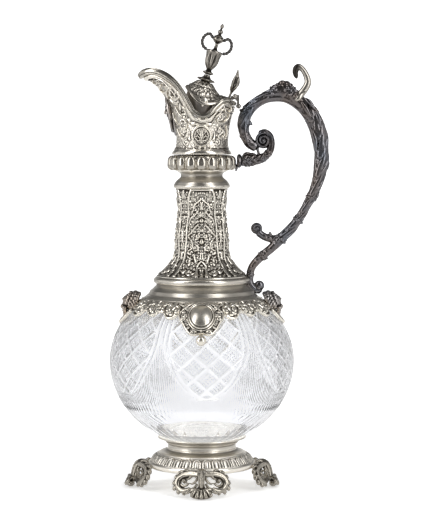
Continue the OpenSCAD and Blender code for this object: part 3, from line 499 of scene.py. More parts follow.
outer_z = np.concatenate([
    glass_mid + globe_low * np.sin(np.linspace(-math.acos(26.4 / globe_r), 0, 90)),
    glass_mid + globe_up * np.sin(np.linspace(0, 1.231, 102)[1:]),
])
outer_r = globe_at(outer_z)
outer_r = np.concatenate([[0, 14, 25.4], outer_r, [22.2, 19.3, 18, 17.6, 17.6, 14.1]])
outer_z = np.concatenate([[outer_z[0]] * 3, outer_z,
                          [glass_mid + 64.6, glass_mid + 67.1, glass_mid + 70.5, glass_mid + 74.5, 206.2, 206.2]])
inner_r0, inner_up, inner_low, floor_z = globe_r - 4.5, globe_up - 3.9, globe_low - 4.8, 49.0
bend = np.linspace(math.radians(73.5), 0, 16)
inner_line = [(14.1, glass_mid + inner_up + 10), (14.5, glass_mid + inner_up + 4.6),
              (16.5, glass_mid + inner_up + 1.2)]
inner_line += [(inner_r0 * math.cos(a), glass_mid + inner_up * math.sin(a)) for a in bend]
inner_line += [(inner_r0 * math.cos(a), glass_mid + inner_low * math.sin(a)) for a in np.linspace(0, -1.06, 22)[1:]]
inner_line += [(34.6, floor_z + 1.2), (33.0, floor_z + 0.3), (30, floor_z), (0, floor_z)]
angle = 2 * np.pi * np.arange(round_cuts) / round_cuts
angle_grid, z_grid = np.meshgrid(angle, outer_z)
cut_depth, fluted, hatched, mitred = glass_cuts(angle_grid, z_grid)
# The facets at the foot glow too: painted highlight.
mitred = np.maximum(mitred, 0.8 * np.clip((57 - z_grid) / 6, 0, 1))
on_globe = (outer_r > 26) & (outer_z < 170)
r_grid = outer_r[:, None] - np.where(on_globe[:, None], cut_depth, 0)
inner_r = np.array([p[0] for p in inner_line])
inner_z = np.array([p[1] for p in inner_line])
r_all = np.vstack([r_grid, np.repeat(inner_r[:, None], round_cuts, 1)])
z_all = np.vstack([z_grid, np.repeat(inner_z[:, None], round_cuts, 1)])
globe_points = np.stack([r_all * np.cos(angle), r_all * np.sin(angle), z_all], -1).reshape(-1, 3)
globe = new_piece("glass_globe", globe_points, ring_faces(len(r_all), round_cuts, False).tolist())
for name, mask in (("fluted", fluted), ("hatched", hatched), ("mitred", mitred)):
    values = np.concatenate([mask.ravel(), np.zeros(len(inner_line) * round_cuts)])
    globe.data.attributes.new(name, "FLOAT", "POINT").data.foreach_set("value", values)
weld = globe.modifiers.new("weld", "WELD")
weld.merge_threshold = 0.01 * MM
plain_copy(globe)
globe.data.shade_smooth()

crystal = bpy.data.materials.new("cut_glass")
crystal.use_nodes = True
crystal_nodes, crystal_links = crystal.node_tree.nodes, crystal.node_tree.links
crystal_shader = crystal_nodes["Principled BSDF"]
crystal_shader.inputs["Base Color"].default_value = (0.962, 0.968, 0.985, 1)
crystal_shader.inputs["Transmission Weight"].default_value = 1.0
crystal_shader.inputs["Roughness"].default_value = 0.02
crystal_shader.inputs["IOR"].default_value = 1.5
glass_place = crystal_nodes.new("ShaderNodeTexCoord")
glass_xyz = crystal_nodes.new("ShaderNodeSeparateXYZ")
crystal_links.new(glass_place.outputs["Object"], glass_xyz.inputs["Vector"])


def glass_math(operation, a, b=None):
    """Math node of two values, each a number or another node's output."""
    node = crystal_nodes.new("ShaderNodeMath")
    node.operation = operation
    for socket, value in zip(node.inputs, (a, b)):
        if isinstance(value, (int, float)):
            socket.default_value = value
        elif value is not None:
            crystal_links.new(value, socket)
    return node.outputs["Value"]


def glass_mask(name):
    mask = crystal_nodes.new("ShaderNodeAttribute")
    mask.attribute_name = name
    return mask.outputs["Fac"]


flute_count, hatch_pitch = 252, 0.0016
turn_share = glass_math("ARCTAN2", glass_xyz.outputs["Y"], glass_xyz.outputs["X"])
flute_wave = glass_math("SINE", glass_math("MULTIPLY", turn_share, float(flute_count)))
flute_height = glass_math("MULTIPLY", flute_wave, glass_mask("fluted"))
arc = glass_math("MULTIPLY", turn_share, globe_r * MM)
hatch_a = glass_math("PINGPONG", glass_math("ADD", arc, glass_xyz.outputs["Z"]), hatch_pitch)
hatch_b = glass_math("PINGPONG", glass_math("SUBTRACT", arc, glass_xyz.outputs["Z"]), hatch_pitch)
hatch = glass_math("MULTIPLY", glass_math("MINIMUM", hatch_a, hatch_b), 1.0 / hatch_pitch)
hatch_height = glass_math("MULTIPLY", hatch, glass_mask("hatched"))
fine_cuts = crystal_nodes.new("ShaderNodeBump")
fine_cuts.inputs["Distance"].default_value = 0.0005
fine_cuts.inputs["Strength"].default_value = 0.7
crystal_links.new(glass_math("ADD", flute_height, glass_math("MULTIPLY", hatch_height, 1.6)),
                  fine_cuts.inputs["Height"])
crystal_links.new(fine_cuts.outputs["Normal"], crystal_shader.inputs["Normal"])
# The glass has a faint tint of its own, and its hatched grooves are tinted grey: painted shade.
glass_tint_and_painted_shade = crystal_nodes.new("ShaderNodeMix")
glass_tint_and_painted_shade.data_type = "RGBA"
glass_tint_and_painted_shade.inputs[6].default_value = (0.958, 0.962, 0.978, 1)
glass_tint_and_painted_shade.inputs[7].default_value = (0.82, 0.83, 0.85, 1)
hatch_painted_shade = glass_math("MULTIPLY", glass_mask("hatched"), glass_math("SUBTRACT", 1.15, hatch))
crystal_links.new(glass_math("MINIMUM", hatch_painted_shade, 1.0), glass_tint_and_painted_shade.inputs["Factor"])
crystal_links.new(glass_tint_and_painted_shade.outputs[2], crystal_shader.inputs["Base Color"])
# The glass glows white along its cuts and foot facets: painted highlight.
crystal_shader.inputs["Emission Color"].default_value = (1, 1, 1, 1)
crystal_links.new(glass_math("MULTIPLY", glass_mask("mitred"), 0.16), crystal_shader.inputs["Emission Strength"])
lamp_way = crystal_nodes.new("ShaderNodeLightPath")
see_through = crystal_nodes.new("ShaderNodeBsdfTransparent")
see_through.inputs["Color"].default_value = (0.93, 0.94, 0.95, 1)
glass_mix = crystal_nodes.new("ShaderNodeMixShader")
crystal_links.new(lamp_way.outputs["Is Shadow Ray"], glass_mix.inputs["Fac"])
crystal_links.new(crystal_shader.outputs["BSDF"], glass_mix.inputs[1])
crystal_links.new(see_through.outputs["BSDF"], glass_mix.inputs[2])
crystal_links.new(glass_mix.outputs["Shader"], crystal_nodes["Material Output"].inputs["Surface"])
wear(globe, crystal)
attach(globe, "jug")
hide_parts("glass_body")

# ---- Shoulder mounts ---------------------------------------------------------------------
# A stepped band, turned from silver, closes the shoulder. The skirt under it is a cast and
# chased border that lies on the glass, with a lobed edge and scrolls in relief.
mount_z = 160.419
neck_z = 181.219
mount_ring_r = 41.0
mount_edge_r = 50.9
mount_outer = [(mount_edge_r - 0.2, 0), (mount_edge_r, 1), (mount_edge_r - 1.4, 2), (mount_edge_r - 1.7, 2.4),
               (46.5, 4.8), (45.6, 5.2), (43.8, 8.3), (43.2, 8.7), (40.7, 10.9), (38.6, 13.2), (38.9, 14),
               (40.6, 15), (41, 16.2), (41, 17.6), (40.2, 19), (38.8, 19.8), (38.4, 20.8)]
mount_inner = [(36.8, 20.8), (37.4, 17.8), (36.6, 13), (41.6, 8.2), (44.6, 5), (49, 1.2), (50, 0.1)]


def at_height(path, z):
    return [(r, h + z) for r, h in path]


mount = spun("shoulder_mount_spun", at_height(mount_outer, mount_z), at_height(mount_inner, mount_z), 360,
             spacing=0.45, spread=6, depth=1.2)
wear(mount, silver)
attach(mount, "jug")
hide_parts("shoulder_mount")


def chase(s, z, strokes, height=None):
    """Height of chased strokes at places s, z. A stroke is its line, start and end half widths and rise."""
    height = np.zeros(s.shape) if height is None else height
    for line, start, end, rise in strokes:
        p = through(line, 4) if len(line) > 2 else np.array(line, float)
        wide = max(start, end)
        near = (s > p[:, 0].min() - wide) & (s < p[:, 0].max() + wide)
        near &= (z > p[:, 1].min() - wide) & (z < p[:, 1].max() + wide)
        if not near.any():
            continue
        q = np.stack([s[near], z[near]], 1)[:, None]
        a, ab = p[:-1], np.diff(p, axis=0)
        t = np.clip(((q - a) * ab).sum(-1) / np.maximum((ab**2).sum(-1), 1e-9), 0, 1)
        far = np.linalg.norm(q - a - t[..., None] * ab, axis=-1)
        width = start + (end - start) * (np.arange(len(ab)) + t) / len(ab)
        height[near] = np.maximum(height[near],
                                  (ridge(far, width, 0.25) * rise * np.minimum(1, width / wide + 0.3)).max(1))
    return height


def curl(s, z, r, turns, start, width=0.8, rise=0.8, way=1):
    """A chased spiral that winds in to a bead at s, z."""
    steps = int(10 * turns) + 2
    line = []
    for i in range(steps):
        f = i / (steps - 1)
        a = math.radians(start) + way * 2 * math.pi * turns * f
        line.append((s + r * (1 - 0.75 * f) * math.cos(a), z + r * (1 - 0.75 * f) * math.sin(a)))
    return [(line, width, width * 0.6, rise), ([(s - 0.01, z), (s + 0.01, z)], width * 1.2, width * 1.2, rise)]


def leaf(s, z, way, length, width=1.3, rise=0.7):
    """A chased leaf that grows from s, z at an angle and bends at its tip."""
    a, b = math.radians(way), math.radians(way + 26)
    half = 0.5 * length
    bend = (s + half * math.cos(a), z + half * math.sin(a))
    tip = (s + half * (math.cos(a) + math.cos(b)), z + half * (math.sin(a) + math.sin(b)))
    return [([(s, z), bend, tip], width, width * 0.25, rise)]


def boss(s, z, r, rise=0.8):
    return [([(s - 0.01, z), (s + 0.01, z)], r, r, rise)]


def scatter(seed, s_span, z_span, pitch, size, rise):
    """Small leaves, curls and beads on an uneven grid, for the chased ground."""
    some = np.random.default_rng(seed)
    strokes = []
    for s in np.arange(s_span[0], s_span[1], pitch):
        for z in np.arange(z_span[0], z_span[1], pitch):
            u, v = s + pitch * some.uniform(-0.4, 0.4), z + pitch * some.uniform(-0.4, 0.4)
            kind = some.uniform()
            grow = size * some.uniform(0.7, 1.25)
            if kind < 0.5:
                strokes += leaf(u, v, some.uniform(0, 360), grow * 2.4, grow * 0.75, rise * some.uniform(0.6, 1.1))
            elif kind < 0.8:
                strokes += curl(u, v, grow * 1.25, 0.8, some.uniform(0, 360), grow * 0.42, rise, some.choice((-1, 1)))
            else:
                strokes += boss(u, v, grow * 0.7, rise)
    return strokes


skirt_r0 = 58.0
lobes = [(0, 40, 15.5), (24, 45, 7.6), (42, 45.5, 6.4), (60, 45, 7.6), (90, 42, 16)]
skirt_columns, skirt_rows = 720, 64
fold = np.abs(np.arange(skirt_columns) * 360 / skirt_columns % 180 - 90)
fold_s = np.radians(fold) * skirt_r0
skirt_edge_z = np.full(skirt_columns, glass_mid + 44.0)
for turn, rise, r in lobes:
    reach = np.radians(fold - turn) * skirt_r0 * 1.12
    inside = np.abs(reach) < r
    slope = 0.72 if rise > 43 else 0.68
    low = glass_mid + rise - slope * np.sqrt(np.maximum(r * r - reach**2, 0))
    skirt_edge_z = np.where(inside, np.minimum(skirt_edge_z, low), skirt_edge_z)
down = np.linspace(0, 1, skirt_rows)[:, None]
skirt_z = (mount_z + 0.2) * (1 - down) + skirt_edge_z[None] * down
skirt_s = np.repeat(fold_s[None], skirt_rows, 0)
skirt_strokes = scatter(5, (2, 91), (138, 162), 2.6, 0.85, 0.5)
for turn, rise, r in lobes[1:4]:
    s0, z0 = math.radians(turn) * skirt_r0, glass_mid + rise
    skirt_strokes += curl(s0 - 3.4, z0 + 0.8, 4.2, 1.3, 250, 1.15, 1.5)
    skirt_strokes += curl(s0 + 3.6, z0 + 1.6, 3.8, 1.3, 290, 1.1, 1.5, -1)
    skirt_strokes += leaf(s0, z0 + 2, 90, 8, 1.7, 1.3) + boss(s0, z0 - 2.4, 1.3, 1.4)
for side in (14.5, 33.5, 51, 70):
    s0 = math.radians(side) * skirt_r0
    skirt_strokes += leaf(s0, glass_mid + 45.5, 80, 5.5, 1.5, 1.2) + boss(s0, glass_mid + 46, 1.4, 1.5)
    swag = [(s0 - 5, glass_mid + 50.4), (s0, glass_mid + 48.8), (s0 + 5, glass_mid + 50.4)]
    skirt_strokes += [(swag, 0.7, 0.7, 1.1)]
skirt_lift = chase(skirt_s, skirt_z, skirt_strokes)
edge_off = (skirt_z - skirt_edge_z[None]) * 1.25
skirt_lift = np.maximum(skirt_lift, ridge(np.abs(edge_off - 0.9), 0.9) * 0.95)
skirt_lift = np.where((edge_off > 1.8) & (edge_off < 2.8), np.minimum(skirt_lift, 0.1), skirt_lift)
skirt_angle = np.arange(skirt_columns) * 2 * np.pi / skirt_columns
skins = []
for grow in (1.8 + skirt_lift, 0.3 + 0 * skirt_lift):
    reach = np.clip((skirt_z - glass_mid) / globe_up, -1, 1)
    r = globe_r * np.sqrt(1 - reach**2)
    normal = unit(np.stack([r / globe_r**2, (skirt_z - glass_mid) / globe_up**2], -1))
    rr, zz = r + normal[..., 0] * grow, skirt_z + normal[..., 1] * grow
    skins.append(np.stack([rr * np.cos(skirt_angle), rr * np.sin(skirt_angle), zz], -1))
skirt_rings = np.concatenate([skins[0][::-1], skins[1]])
skirt_faces = ring_faces(len(skirt_rings), skirt_columns)
# The skirt is a lighter copy of the silver: painted light.
skirt_silver_painted_light = silver_metal("skirt_silver_painted_light", (0.95, 0.9, 0.8), (0.07, 0.058, 0.044), 0.2, 0.5, 0.75)
skirt = age(new_piece("shoulder_skirt_chased", skirt_rings.reshape(-1, 3), skirt_faces.tolist()), 14, 0.3)
chased_silver = silver_metal("chased_silver", silver_bright, (0.045, 0.038, 0.030), 0.2, 0.55, 0.5)
wear(skirt, skirt_silver_painted_light)
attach(skirt, "jug")
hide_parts("shoulder_skirt")

# ---- Neck --------------------------------------------------------------------------------
# The tall neck is raised from sheet and chased all over: four framed panels with drops,
# straps and bosses, and leaves on its spread foot.
neck_rows = [(38.4, 0), (34.2, 2.8), (31.4, 5.4), (29.1, 7.9), (27.2, 10.5), (25.2, 13), (24.0, 15.6), (23.3, 18.1),
             (22.8, 23.2), (22.3, 35.8), (21.2, 43.8), (19.9, 56.4), (20.8, 63.8), (21.5, 71.8), (22.2, 73.8)]
neck_s0 = 22.0
neck_sector = math.pi / 2
neck_strokes = scatter(11, (0.6, 17.3), (1.5, 72), 2.15, 0.72, 0.5)
strap = [(0, 73.2), (7.6, 73), (10.2, 71.6), (11.4, 68), (12.8, 60), (12.4, 52), (13.2, 42), (12.9, 33), (13.6, 24),
         (14.2, 14), (14.8, 6), (15.3, 1)]
neck_strokes += [(strap, 0.85, 0.95, 0.95)]
neck_strokes += [([(0, 65.6), (3, 63), (6.2, 60.4), (8.2, 55.5)], 0.6, 0.5, 0.9),
                 ([(3.6, 55), (6.6, 51.6), (9.6, 49.6), (11.4, 45)], 0.65, 0.5, 0.9),
                 ([(3.4, 43.6), (6.4, 40.6), (9.2, 36.8), (11.6, 34.8)], 0.75, 0.5, 1.0),
                 ([(11.4, 34), (9, 31), (7.4, 27.4), (8.4, 23.6), (11.4, 22)], 0.6, 0.5, 0.85),
                 ([(2.6, 0.8), (2.9, 6), (2.6, 10.4), (0.4, 13.2)], 0.7, 0.6, 1.0),
                 ([(16.4, 41), (16.8, 37), (16.4, 33)], 0.5, 0.5, 0.9)]
neck_strokes += curl(2.2, 51.8, 2.2, 1.1, 60, 0.8, 1.1) + boss(0, 47.4, 1.7, 1.2) + boss(3.1, 34.2, 1.9, 1.25)
neck_strokes += boss(0, 39.6, 1.3, 1.0) + boss(0, 29.4, 1.8, 1.3) + curl(5.2, 24.2, 2.6, 1.2, 120, 0.7, 0.9)
neck_strokes += (curl(8.8, 60.2, 2.3, 1.1, 30, 0.65, 0.85, -1) + leaf(0, 16, 90, 7, 1.5, 1.0)
                 + leaf(0, 62, -90, 6, 1.4, 1.0))
neck_strokes += (leaf(4, 14, 60, 6, 1.2, 0.9) + leaf(8.5, 11, 75, 6.5, 1.3, 0.9) + boss(10.6, 5.2, 1.7, 1.0)
                 + curl(7, 4.4, 2.2, 1.0, 200, 0.7, 0.9))
seam_s = 17.28
for fan in (-66, -82, -98, -114):
    neck_strokes += leaf(seam_s, 71.6, fan, 7, 1.0, 1.1)
neck_strokes += boss(seam_s, 71, 1.6, 1.1) + boss(seam_s, 50, 1.5, 0.9)
neck_strokes += leaf(seam_s, 30, 90, 7, 1.4, 0.9) + leaf(seam_s, 20, -90, 8, 1.5, 0.9)


def neck_relief(angle, row, path):
    turn = np.abs((angle + neck_sector / 2) % neck_sector - neck_sector / 2)
    z = path[row, 1] - neck_z
    lift = chase(turn * neck_s0, z, neck_strokes)
    return np.where((z > 0.8) & (z < 73.2), lift - 0.1, 0)


neck_inner = [(20.7, neck_z + 73.8), (18.6, neck_z + 56), (21.0, neck_z + 30), (22.2, neck_z + 17),
              (26.6, neck_z + 9.5), (32.8, neck_z + 2.4), (36.8, neck_z)]
neck = spun("neck_sleeve_chased", at_height(neck_rows, neck_z), neck_inner, 460, neck_relief, 0.4, 12, 0.26)
wear(neck, chased_silver)
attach(neck, "jug")
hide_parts("neck_sleeve")

# The collar and hollow moulding above the neck are turned, with a line of beads.
moulding_z = 255.019
moulding_rows = [(22.6, 0.1), (23.2, 0.4), (23.9, 1.5), (24.0, 2.7), (23.5, 3.5), (22.6, 5.3), (21.2, 7.0),
                 (19.2, 8.6), (18.1, 9.8), (17.7, 11), (18.0, 12.2), (18.9, 13.2), (20.6, 14.2), (21.6, 15),
                 (22, 16)]
moulding = spun("neck_moulding_spun", at_height(moulding_rows, moulding_z),
                [(15.6, moulding_z + 16), (15.6, moulding_z + 0.1)], 320, spread=6, depth=1.2, steps=3)
wear(moulding, silver)
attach(moulding, "jug")
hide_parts("neck_moulding")

# ---- Gadrooned ring ----------------------------------------------------------------------
# A heavy ring of rounded lobes, cast and polished, that carries the handle. The lobes are
# set round it by a node tree, with a pair of fine lines between each two.
ring_z = 271.119
ring_mid = 276.719
ring_r = 29.4
ring_lobes = 18
core_rows = [(22, 0.1), (24.4, 1.2), (26.0, 2.6), (26.6, 4.2), (26.7, 5.6), (26.6, 7.2), (26.2, 8.8), (25.4, 10.6),
             (24.6, 11.6), (23.4, 12.3)]
core = spun("gadroon_core", at_height(core_rows, ring_z), [(15.6, ring_z + 12.2), (15.6, ring_z + 0.1)], 240, steps=3)
lobe = cast("gadroon_lobe", [
    wax_rod([(ring_r - 5.4, 0, ring_mid - 5.0, 1.5, 2.0), (ring_r - 2.9, 0, ring_mid - 3.4, 2.6, 3.6),
             (ring_r - 2.6, 0, ring_mid, 2.6, 4.3),
             (ring_r - 2.9, 0, ring_mid + 3.4, 2.4, 3.6), (ring_r - 5.0, 0, ring_mid + 5.2, 1.5, 2.0)], sides=20),
], 0.5)


def ring_tree(name):
    """Node tree that sets copies of a piece round the jug's axis and puts a material on them."""
    tree = bpy.data.node_groups.new(name, "GeometryNodeTree")
    tree.interface.new_socket("Geometry", in_out="OUTPUT", socket_type="NodeSocketGeometry")
    for label, kind in (("Piece", "NodeSocketObject"), ("Count", "NodeSocketInt"), ("Start", "NodeSocketFloat"),
                        ("Material", "NodeSocketMaterial")):
        tree.interface.new_socket(label, in_out="INPUT", socket_type=kind)
    nodes, links = tree.nodes, tree.links
    given, result = nodes.new("NodeGroupInput"), nodes.new("NodeGroupOutput")
    piece_info = nodes.new("GeometryNodeObjectInfo")
    line = nodes.new("GeometryNodeMeshLine")
    line.inputs["Offset"].default_value = (0, 0, 0)
    index, pitch, turn = nodes.new("GeometryNodeInputIndex"), nodes.new("ShaderNodeMath"), nodes.new("ShaderNodeMath")
    pitch.operation, turn.operation = "DIVIDE", "MULTIPLY_ADD"
    pitch.inputs[0].default_value = 2 * math.pi
    spin = nodes.new("ShaderNodeCombineXYZ")
    place, real = nodes.new("GeometryNodeInstanceOnPoints"), nodes.new("GeometryNodeRealizeInstances")
    finish = nodes.new("GeometryNodeSetMaterial")
    links.new(given.outputs["Piece"], piece_info.inputs["Object"])
    links.new(given.outputs["Count"], line.inputs["Count"])
    links.new(given.outputs["Count"], pitch.inputs[1])
    links.new(index.outputs["Index"], turn.inputs[0])
    links.new(pitch.outputs["Value"], turn.inputs[1])
    links.new(given.outputs["Start"], turn.inputs[2])
    links.new(turn.outputs["Value"], spin.inputs["Z"])
    links.new(line.outputs["Mesh"], place.inputs["Points"])
    links.new(piece_info.outputs["Geometry"], place.inputs["Instance"])
    links.new(spin.outputs["Vector"], place.inputs["Rotation"])
    links.new(place.outputs["Instances"], real.inputs["Geometry"])
    links.new(real.outputs["Geometry"], finish.inputs["Geometry"])
    links.new(given.outputs["Material"], finish.inputs["Material"])
    links.new(finish.outputs["Geometry"], result.inputs["Geometry"])
    return tree


set_round = ring_tree("set_round_the_axis")


def ringed(name, piece, count, start, material):
    """Copies of a piece round the axis as one plain mesh. The piece itself is used up."""
    ring = new_piece(name, np.zeros((0, 3)), [])
    setting = ring.modifiers.new("setting", "NODES")
    setting.node_group = set_round
    values = {"Piece": piece, "Count": count, "Start": start, "Material": material}
    for item in set_round.interface.items_tree:
        if item.in_out == "INPUT":
            setting[item.identifier] = values[item.name]
    plain_copy(ring)
    bpy.data.objects.remove(piece)
    return ring


# The gadrooned ring is a darker copy of the silver: painted shade.
ring_silver_painted_shade = silver_metal("ring_silver_painted_shade", (0.5, 0.467, 0.41), silver_dark, 0.15, 0.5)
wear(core, ring_silver_painted_shade)
lobes_ring = ringed("gadroon_lobes", lobe, ring_lobes, math.pi / ring_lobes, ring_silver_painted_shade)
bead = new_piece("bead", *wax_ball((ring_r - 3.2, 0, ring_mid - 0.2), (0.9, 0.55, 3.6)))
age(bead, 1)
beads_ring = ringed("gadroon_darts", bead, ring_lobes, 0.0, silver)
for piece in (core, lobes_ring, beads_ring):
    piece.data.shade_smooth()
    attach(piece, "jug")
    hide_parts("gadroon_ring")

# ---- Spout -------------------------------------------------------------------------------
# The helmet-shaped spout is raised from sheet and chased like the neck, with two plain
# mouldings under the rolled rim. Its edge climbs to the lip, dips at the sides and rises
# again to the hinge.
spout_z = 283.519
spout_h = 68.6
lip_reach, back_reach, throat_half_w, rim_r = 51.4, 27.5, 24.5, 1.9
spout_waist_r = 22.2
rim_rows = [(1, 0, 0.628), (0.927, 0.388, 0.636), (0.7, 0.714, 0.659), (0.436, 0.898, 0.585), (0.218, 0.98, 0.493),
            (0.018, 1, 0.469), (-0.107, 0.963, 0.513), (-0.195, 0.906, 0.606), (-0.284, 0.841, 0.726),
            (-0.405, 0.751, 0.843), (-0.545, 0.645, 0.924), (-0.69, 0.531, 0.98), (-0.84, 0.392, 1),
            (-0.953, 0.229, 0.98), (-1, 0, 0.95)]
rim_half = through(rim_rows, 18)
rim_half = np.stack([rim_half[:, 0] * np.where(rim_half[:, 0] > 0, back_reach, lip_reach),
                     rim_half[:, 1] * throat_half_w,
                     spout_z + rim_half[:, 2] * spout_h], 1)
rim_line = np.vstack([rim_half, (rim_half * (1, -1, 1))[-2:0:-1]])
rim_way = unit(np.roll(rim_line, -1, 0) - np.roll(rim_line, 1, 0))
spout_flat = rim_line * (1, 1, 0)
spout_reach = np.linalg.norm(spout_flat, axis=1)[:, None]
spout_out = unit(spout_flat)
spout_pull = np.minimum(0.93 * spout_reach, 27)
spout_drop = 10 - 6 * np.clip((spout_reach - 28) / 23, 0, 1)
up = np.array((0, 0, 1.0))


def spout_flare(t):
    """Points of every meridian at share t of the flare."""
    slim = np.clip(-spout_out[:, :1], 0, 1) ** 2
    a = spout_out * (spout_waist_r - 0.6 * slim) + up * (spout_z + 5.4)
    b = spout_out * (spout_waist_r - 2 - 2.6 * slim) + up * (spout_z + 18.6)
    c = spout_out * spout_pull + up * (rim_line[:, 2:] - spout_drop)
    return a * (1 - t) ** 3 + 3 * b * (1 - t) ** 2 * t + 3 * c * (1 - t) * t**2 + rim_line * t**3


near_edge = rim_line - spout_flare(np.full((len(rim_line), 1), 0.9))
skew = np.maximum(0.4, np.linalg.norm(np.cross(unit(near_edge), rim_way), axis=1))[:, None]
spout_end = 1 - 0.1 * (rim_r + 0.5) / skew / np.linalg.norm(near_edge, axis=1)[:, None]
spout_rows = 96
flange_places = ((2.6, 0.3), (2.5, 1.4), (2.2, 2.2), (1.4, 3.2), (0.6, 4.2), (0.15, 4.9))
foot_flange = [spout_out * (spout_waist_r + a) + up * (spout_z + b) for a, b in flange_places]
sheet = np.stack(foot_flange + [spout_flare(spout_end * k / spout_rows) for k in range(spout_rows + 1)])
along = np.gradient(sheet, axis=0)
around_rim = np.roll(sheet, -1, 1) - np.roll(sheet, 1, 1)
spout_normal = unit(np.cross(along, around_rim))
spout_normal *= np.sign((spout_normal * spout_out[None]).sum())
climbed = np.concatenate([np.zeros((1, len(rim_line))),
                          np.cumsum(np.linalg.norm(np.diff(sheet, axis=0), axis=-1), 0)])
to_edge = (climbed[-1] - climbed) * skew[:, 0]
spout_turn = np.arccos(np.clip(-spout_out[:, 0], -1, 1))
spout_s = np.repeat((spout_turn * spout_waist_r)[None], len(sheet), 0)
side_s = math.pi / 2 * spout_waist_r
spout_strokes = scatter(23, (0.8, 69), (5, 96), 2.3, 0.75, 0.42)
for s0, face in ((side_s - 13.5, 1), (side_s + 13.5, -1)):
    spout_strokes += (curl(s0, 11, 3.0, 1.3, 90, 0.8, 1.0, face)
                      + curl(s0 - 3 * face, 21, 3.4, 1.3, 270, 0.85, 1.0, -face))
    spout_strokes += curl(s0 - 2 * face, 32, 3.2, 1.2, 60, 0.85, 1.0, face) + leaf(s0 + 3 * face, 14, 80, 8, 1.4, 0.9)
    spout_strokes += leaf(s0 - 5 * face, 40, 85, 8, 1.5, 0.9)
spout_strokes += (curl(14, 48, 3.6, 1.3, 200, 0.9, 1.1) + curl(10, 60, 3.2, 1.3, 20, 0.85, 1.0, -1)
                  + leaf(14, 54, 95, 9, 1.6, 1.0))
spout_strokes += (leaf(8, 66, 80, 9, 1.6, 1.0) + curl(side_s + 16, 40, 3.4, 1.3, 180, 0.9, 1.0)
                  + curl(60, 40, 3.0, 1.2, 0, 0.8, 1.0, -1))
spout_lift = chase(spout_s, climbed, spout_strokes) - 0.1
medallion_off = np.hypot(spout_s - side_s, (climbed - 17) * 1.02)
spout_lift = np.where((medallion_off < 9.8) | (climbed < 5), 0, spout_lift)
strand_gap = np.interp(rim_line[:, 0], (-51, -36, -20, -6), (2.5, 2.8, 5.4, 4.2))
cavetto = 0.75 - 0.35 * np.sin(np.pi * np.clip((to_edge - 1.8) / (strand_gap - 1.8), 0, 1))
spout_lift = np.where(to_edge < strand_gap + 1.2, cavetto, spout_lift)
spout_lift = np.maximum(spout_lift, 1.35 * ridge(np.abs(to_edge - strand_gap), 0.9))
for s0, z0, r, start, face in ((24.6, 44.6, 3.0, 80, -1), (49.4, 41.5, 5.2, 100, 1)):
    spout_lift = chase(spout_s, climbed, curl(s0, z0, r, 1.3, start, 1.0, 1.7, face) + boss(s0, z0, 1.5, 2.4),
                       spout_lift)
spout_half = 0.65
spout_walls = np.concatenate([sheet + spout_normal * (spout_half + spout_lift)[..., None],
                              (sheet - spout_normal * spout_half)[::-4]])


def closed_shell(name, rings, **ageing):
    """Closed skin over rings that follow one another round a wall, out and back."""
    piece = new_piece(name, rings.reshape(-1, 3), ring_faces(*rings.shape[:2]).tolist())
    return age(face_out(piece), **ageing)


def face_out(piece):
    """Turns a closed mesh's faces outwards."""
    piece.data.calc_loop_triangles()
    tri = np.empty(len(piece.data.loop_triangles) * 3, int)
    piece.data.loop_triangles.foreach_get("vertices", tri)
    a, b, c = points_of(piece)[tri].reshape(-1, 3, 3).transpose(1, 0, 2)
    if (a * np.cross(b, c)).sum() < 0:
        piece.data.flip_normals()
    return piece


spout_silver = silver_metal("spout_silver", (0.9, 0.85, 0.765), (0.06, 0.05, 0.04), 0.16, 0.5, 0.62)
spout = closed_shell("spout_chased", spout_walls, spread=12, depth=0.32)
wear(spout, spout_silver)
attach(spout, "jug")
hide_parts("spout_body")

